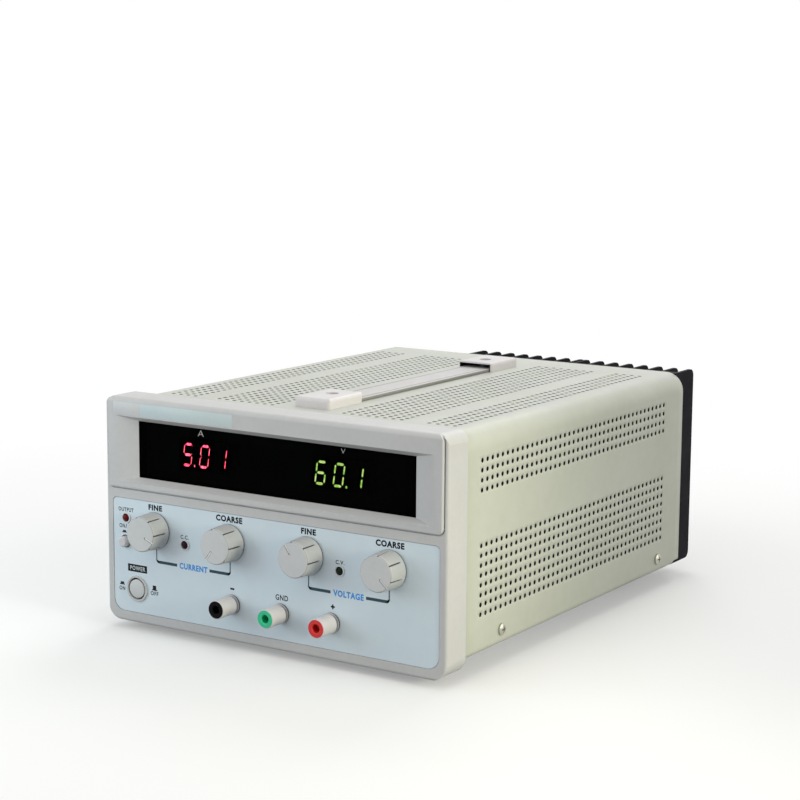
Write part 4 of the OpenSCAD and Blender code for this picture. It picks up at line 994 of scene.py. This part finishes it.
def addReading(name, reading):
    d = display
    w = d["digitWidth"] - d["segment"]
    h = d["digitHeight"] - d["segment"]
    slant = math.tan(math.radians(d["slant"]))
    across = w - 2 * d["gap"]
    up = h / 2 - 2 * d["gap"]
    bars = {
        # segment: centre, length, upright
        "a": ((0, h / 2), across, False), "d": ((0, -h / 2), across, False),
        "b": ((w / 2, h / 4), up, True), "c": ((w / 2, -h / 4), up, True),
        "e": ((-w / 2, -h / 4), up, True), "f": ((-w / 2, h / 4), up, True),
        "g": ((0, 0), across, False),
    }
    bm = bmesh.new()
    place = -1  # of three digits, the middle one at 0
    for mark in reading["digits"]:
        fresh = bmesh.new()
        if mark == ".":
            addDot(fresh, w / 2 + d["segment"] / 2 + d["dotReach"], -h / 2)
            shift = (place - 1) * d["pitch"]  # beside the digit before it
        else:
            for letter in litSegments[mark]:
                addSegment(fresh, *bars[letter], slant)
            shift = place * d["pitch"]
            place += 1
        bmesh.ops.translate(fresh, vec=(shift, 0, 0), verts=fresh.verts)
        digit = newMesh("digit", fresh)
        bm.from_mesh(digit)
        bpy.data.meshes.remove(digit)
    bmesh.ops.scale(bm, vec=(mm, mm, mm), verts=bm.verts)
    bmesh.ops.translate(bm, vec=at(reading["centre"], d["depth"], d["height"]), verts=bm.verts)
    bmesh.ops.recalc_face_normals(bm, faces=bm.faces)
    newPiece(bm, name + "_reading", "root", glowMaterial(*reading["glow"]))
    print("reading", name)


# Printed marks

inkLift = 0.02  # how far printed ink stands out, in mm
windowDepth = 4.0  # how far the window's face lies back, in mm

inks = {
    "dark": ((16, 22, 28), (10, 16, 22)),
    "blue": ((76, 158, 232), (64, 146, 222)),
    "slate": ((62, 84, 94), (52, 74, 84)),
    "black": ((22, 24, 28), (16, 18, 22)),
    "white": ((214, 222, 226), (204, 212, 216)),
    "bright": ((250, 252, 255), (240, 243, 250)),
}

# Words are text, x, z, width, height, brackets are side x, top z, low z, inner end x, and bars
# are two corners, each x and z
printedMarks = {
    "panel_words_dark": {"ink": "dark", "words": [
        ("OUTPUT", -113.6, 73.9, 12.6, 2.7), ("ON", -117.0, 63.0, 4.6, 2.7),
        ("/", -113.6, 63.0, 1.3, 3.0), ("FINE", -89.2, 77.9, 11.2, 3.7),
        ("COARSE", -30.0, 78.1, 20.6, 4.0), ("FINE", 30.5, 78.1, 11.0, 3.8),
        ("COARSE", 89.4, 78.1, 20.2, 4.0), ("C.C.", -65.5, 61.9, 6.6, 2.6),
        ("C.V.", 53.7, 62.2, 6.4, 2.6), ("ON", -117.7, 21.5, 4.8, 2.7),
        ("OFF", -90.7, 21.6, 6.4, 2.7), ("GND", 10.4, 33.9, 9.5, 3.6)]},
    "panel_words_blue": {"ink": "blue", "words": [
        ("CURRENT", -58.6, 43.0, 22.6, 4.0), ("VOLTAGE", 59.8, 42.9, 22.2, 4.1)]},
    "panel_brackets": {"ink": "slate", "brackets": [
        (-88.5, 51.0, 42.9, -71.8), (-29.4, 51.9, 42.9, -45.8), (30.6, 51.0, 43.0, 46.8),
        (89.1, 50.5, 43.0, 72.6)]},
    "panel_signs": {"ink": "black", "bars": [
        ((-112.6, 33.7), (-96.7, 38.6)),  # plate behind the word for the mains switch
        ((-29.4, 33.3), (-26.2, 34.5)),  # minus
        ((47.0, 33.5), (50.0, 34.5)),  # plus
        ((48.0, 32.5), (49.0, 35.5)),
        ((-119.7, 23.8), (-115.5, 24.5)),  # switch pressed: a low block on its base
        ((-119.0, 24.5), (-116.2, 25.8)),
        ((-92.8, 23.5), (-88.6, 24.2)),  # switch out: a tall block on its base
        ((-92.1, 24.2), (-89.3, 26.8)),
        ((-117.0, 58.6), (-113.2, 59.2)),  # output button pressed
        ((-116.4, 59.2), (-113.9, 60.2))]},
    "power_word": {"ink": "white", "depth": panelRecess - inkLift, "words": [
        ("POWER", -104.5, 36.15, 12.6, 2.8)]},
    "unit_signs": {"ink": "bright", "depth": windowDepth, "slot": "window_pane", "words": [
        ("A", -54.7, 129.0, 4.4, 3.8), ("V", 53.2, 129.5, 3.1, 3.0)]},
}

lettering = {
    "weight": 0.022,
    "ownWeight": {"A": -0.03, "V": -0.03, "FINE": 0.05, "COARSE": 0.05, "CURRENT": 0.045,
                  "VOLTAGE": 0.045, "POWER": 0.02},
    "gap": 1.14,  # times the font's own spacing
    "curveSteps": 3,
}

bracket = {"thin": 0.75, "thick": 1.9, "cornerRadius": 1.8, "cornerSteps": 6}


# A word fitted to a box of the given width and height on a plane that faces the front
def addWord(bm, text, x, z, width, height, depth):
    curve = bpy.data.curves.new("word", "FONT")
    curve.body = text
    curve.resolution_u = lettering["curveSteps"]
    curve.offset = lettering["ownWeight"].get(text, lettering["weight"])
    curve.space_character = lettering["gap"]
    curve.extrude = 0.5  # to both sides, so 1 in all
    letters = newObject("word", curve)
    bpy.context.view_layer.update()
    shaped = letters.evaluated_get(bpy.context.evaluated_depsgraph_get())
    mesh = bpy.data.meshes.new_from_object(shaped)
    bpy.data.objects.remove(letters)
    bpy.data.curves.remove(curve)
    low = [min(v.co[i] for v in mesh.vertices) for i in range(2)]
    high = [max(v.co[i] for v in mesh.vertices) for i in range(2)]
    centre = Vector(((low[0] + high[0]) / 2, (low[1] + high[1]) / 2, 0))
    fit = Matrix.Diagonal((width / (high[0] - low[0]) * mm, height / (high[1] - low[1]) * mm,
                           inkLift * mm, 1))
    stand = Matrix.Rotation(math.radians(90), 4, "X")
    place = Matrix.Translation(at(x, depth - inkLift / 2, z))
    mesh.transform(place @ stand @ fit @ Matrix.Translation(-centre))
    bm.from_mesh(mesh)
    bpy.data.meshes.remove(mesh)


# Two printed bars, the upright thin and the level one thick, joined by a rounded corner
def addBracket(bm, side, top, low, inner, depth):
    b = bracket
    radius = b["cornerRadius"]
    way = 1 if inner > side else -1
    start = side + way * radius
    addPlate(bm, (side - b["thin"] / 2, low + radius), (side + b["thin"] / 2, top), depth, inkLift)
    left, right = sorted((start, inner))
    addPlate(bm, (left, low - b["thick"] / 2), (right, low + b["thick"] / 2), depth, inkLift)
    centre = at(start, depth, low + radius)
    outside = bm.verts.new(at(side - way * b["thin"] / 2, depth, low + radius))
    inside = bm.verts.new(at(side + way * b["thin"] / 2, depth, low + radius))
    row = [bm.edges.new((outside, inside))]
    for i in range(b["cornerSteps"]):
        verts, row = growRow(bm, row)
        outside, inside = sorted(verts, key=lambda v: (v.co - outside.co).length)
        share = (i + 1) / b["cornerSteps"]
        angle = math.radians(90) * share
        spoke = Vector((-way * math.cos(angle), 0, -math.sin(angle)))
        width = b["thin"] + (b["thick"] - b["thin"]) * share
        outside.co = centre + spoke * (radius + width / 2) * mm
        inside.co = centre + spoke * (radius - width / 2) * mm


def addPrintedMarks():
    for name, mark in printedMarks.items():
        light, dark = inks[mark["ink"]]
        ink = surface(mark["ink"] + "_ink", {
            "light": light, "dark": dark, "roughness": (0.5, 0.6), "scale": 120.0,
            "grainScale": 5000.0, "grainDepth": 0.005, "specular": 0.12})
        depth = mark.get("depth", panelRecess)
        bm = bmesh.new()
        for word in mark.get("words", ()):
            addWord(bm, *word, depth)
        for line in mark.get("brackets", ()):
            addBracket(bm, *line, depth)
        for low, high in mark.get("bars", ()):
            addPlate(bm, low, high, depth, inkLift)
        newPiece(bm, name, "root", ink)
    print("printed marks", len(printedMarks))


titleStrip = {
    "low": 136.2,
    "high": 144.2,
    "depth": -1.5,
    "thickness": 0.15,
    "round": 0.05,
    # piece: left end, right end, finish, light and dark
    "fields": {
        "title_strip": (-99.5, -25.9, "strip_film", (199, 213, 215), (193, 207, 209)),
        "title_strip_end": (-121.4, -99.5, "pale_film", (206, 208, 209), (200, 201, 203)),
    },
}


def addTitleStrip():
    s = titleStrip
    for name, (left, right, film, light, dark) in s["fields"].items():
        material = surface(film, {"light": light, "dark": dark, "roughness": (0.36, 0.46),
                                  "grainDepth": 0.008})
        bm = bmesh.new()
        addPlate(bm, (left, s["low"]), (right, s["high"]), s["depth"], s["thickness"])
        roundEdges(bm, s["round"])
        newPiece(bm, name, "root", material)
    print("title strip")


# Stage

studio = {
    "ambient": 0.45,
    "suns": (
        # from direction, strength, softness in degrees, colour
        ((-0.3, -1.0, 0.3), 0.5, 60, (1.0, 1.0, 1.0)),
        ((1.0, 0.3, 0.3), 1.0, 60, (1.0, 1.0, 0.84)),
        ((0.0, 0.05, 1.0), 0.42, 40, (1.0, 1.0, 1.0)),
    ),
    "lamps": (
        # place, aim, power in watts, size, colour: one above and behind, a cool one at the left
        ((-0.2, 0.9, 1.15), (0.0, 0.0, 0.12), 6.5, 0.8, (1.0, 1.0, 1.0)),
        ((-0.45, -0.5, 0.22), (-0.12, -0.18, 0.08), 0.85, 0.3, (0.86, 1.0, 1.04)),
    ),
    # a warm lamp at the right that falls off towards the rear
    "key": {"place": (0.967, -0.308, 0.3), "aim": (0.13, -0.26, 0.08), "power": 18.5, "cone": 40,
            "radius": 0.1, "colour": (1.0, 0.97, 0.74)},
}

floorLook = {
    "size": 6.0,
    "squares": 8,
    "nearShare": 0.25,  # how much of the floor's look near the object is plain white light
    "fade": (0.32, 0.7),  # metres from the middle between which it turns all white
    "paper": (246, 246, 246),
    "bounce": (146, 146, 146),  # the paper as it lights the object from below
}


# 1 for rays that show the background itself, in the picture, in metal and through glass
def seenDirectly(tree):
    path = shaderNode(tree, "LightPath").outputs
    either = mathNode(tree, "MAXIMUM", path["Is Camera Ray"], path["Is Glossy Ray"])
    return mathNode(tree, "MAXIMUM", either, path["Is Transmission Ray"])


def addBackground():
    scene = bpy.context.scene
    scene.view_settings.view_transform = "Standard"
    scene.world = bpy.data.worlds.new("studio")
    scene.world.use_nodes = True
    tree = scene.world.node_tree
    background = tree.nodes["Background"].inputs
    background["Color"].default_value = (1, 1, 1, 1)
    light = mapRange(tree, seenDirectly(tree), toLow=studio["ambient"])
    tree.links.new(light, background["Strength"])


# A light at a place that shines away from its back
def addLight(name, kind, place, back, **settings):
    data = bpy.data.lights.new(name, kind)
    for key, value in settings.items():
        setattr(data, key, value)
    turn = Vector(back).to_track_quat("Z", "Y").to_matrix().to_4x4()
    newObject(name, data).matrix_world = Matrix.Translation(Vector(place)) @ turn


def addLights():
    for i, (back, strength, softness, colour) in enumerate(studio["suns"]):
        addLight(f"sun_{i}", "SUN", (0, 0, 0), back, energy=strength, color=colour,
                 angle=math.radians(softness))
    for i, (place, aim, power, size, colour) in enumerate(studio["lamps"]):
        addLight(f"lamp_{i}", "AREA", place, Vector(place) - Vector(aim), energy=power,
                 color=colour, size=size)
    key = studio["key"]
    addLight("key", "SPOT", key["place"], Vector(key["place"]) - Vector(key["aim"]),
             energy=key["power"], color=key["colour"], spot_size=math.radians(key["cone"]),
             spot_blend=1.0, shadow_soft_size=key["radius"])


# White paper that fades into the background and shows the object's shadow near it
def floorMaterial():
    look = floorLook
    material = bpy.data.materials.new("floor")
    material.use_nodes = True
    tree = material.node_tree
    tree.nodes.clear()
    away = shaderNode(tree, "VectorMath", {0: objectPlace(tree)}, operation="LENGTH")
    share = mapRange(tree, away.outputs["Value"], *look["fade"], look["nearShare"])
    paper = shaderNode(tree, "BsdfDiffuse", {"Color": tint(*look["paper"])}).outputs[0]
    white = shaderNode(tree, "Emission", {"Color": (1, 1, 1, 1), "Strength": 1.0}).outputs[0]
    bounce = shaderNode(tree, "BsdfDiffuse", {"Color": tint(*look["bounce"])}).outputs[0]
    near = shaderNode(tree, "MixShader", {0: share, 1: paper, 2: white}).outputs[0]
    seen = shaderNode(tree, "MixShader", {0: seenDirectly(tree), 1: bounce, 2: near}).outputs[0]
    tree.links.new(seen, shaderNode(tree, "OutputMaterial").inputs["Surface"])
    return material


def addFloor():
    look = floorLook
    bm = bmesh.new()
    bmesh.ops.create_grid(bm, x_segments=look["squares"], y_segments=look["squares"],
                          size=look["size"] / 2)
    floor = newObject("floor", newMesh("floor", bm))
    floor.data.materials.append(floorMaterial())


addCamera()
addBackground()
addLights()
addFloor()
print("camera and studio")
softenEdges()
addPointers()
addCover()
addStrapWelts()
for name, reading in readings.items():
    addReading(name, reading)
addPrintedMarks()
addTitleStrip()
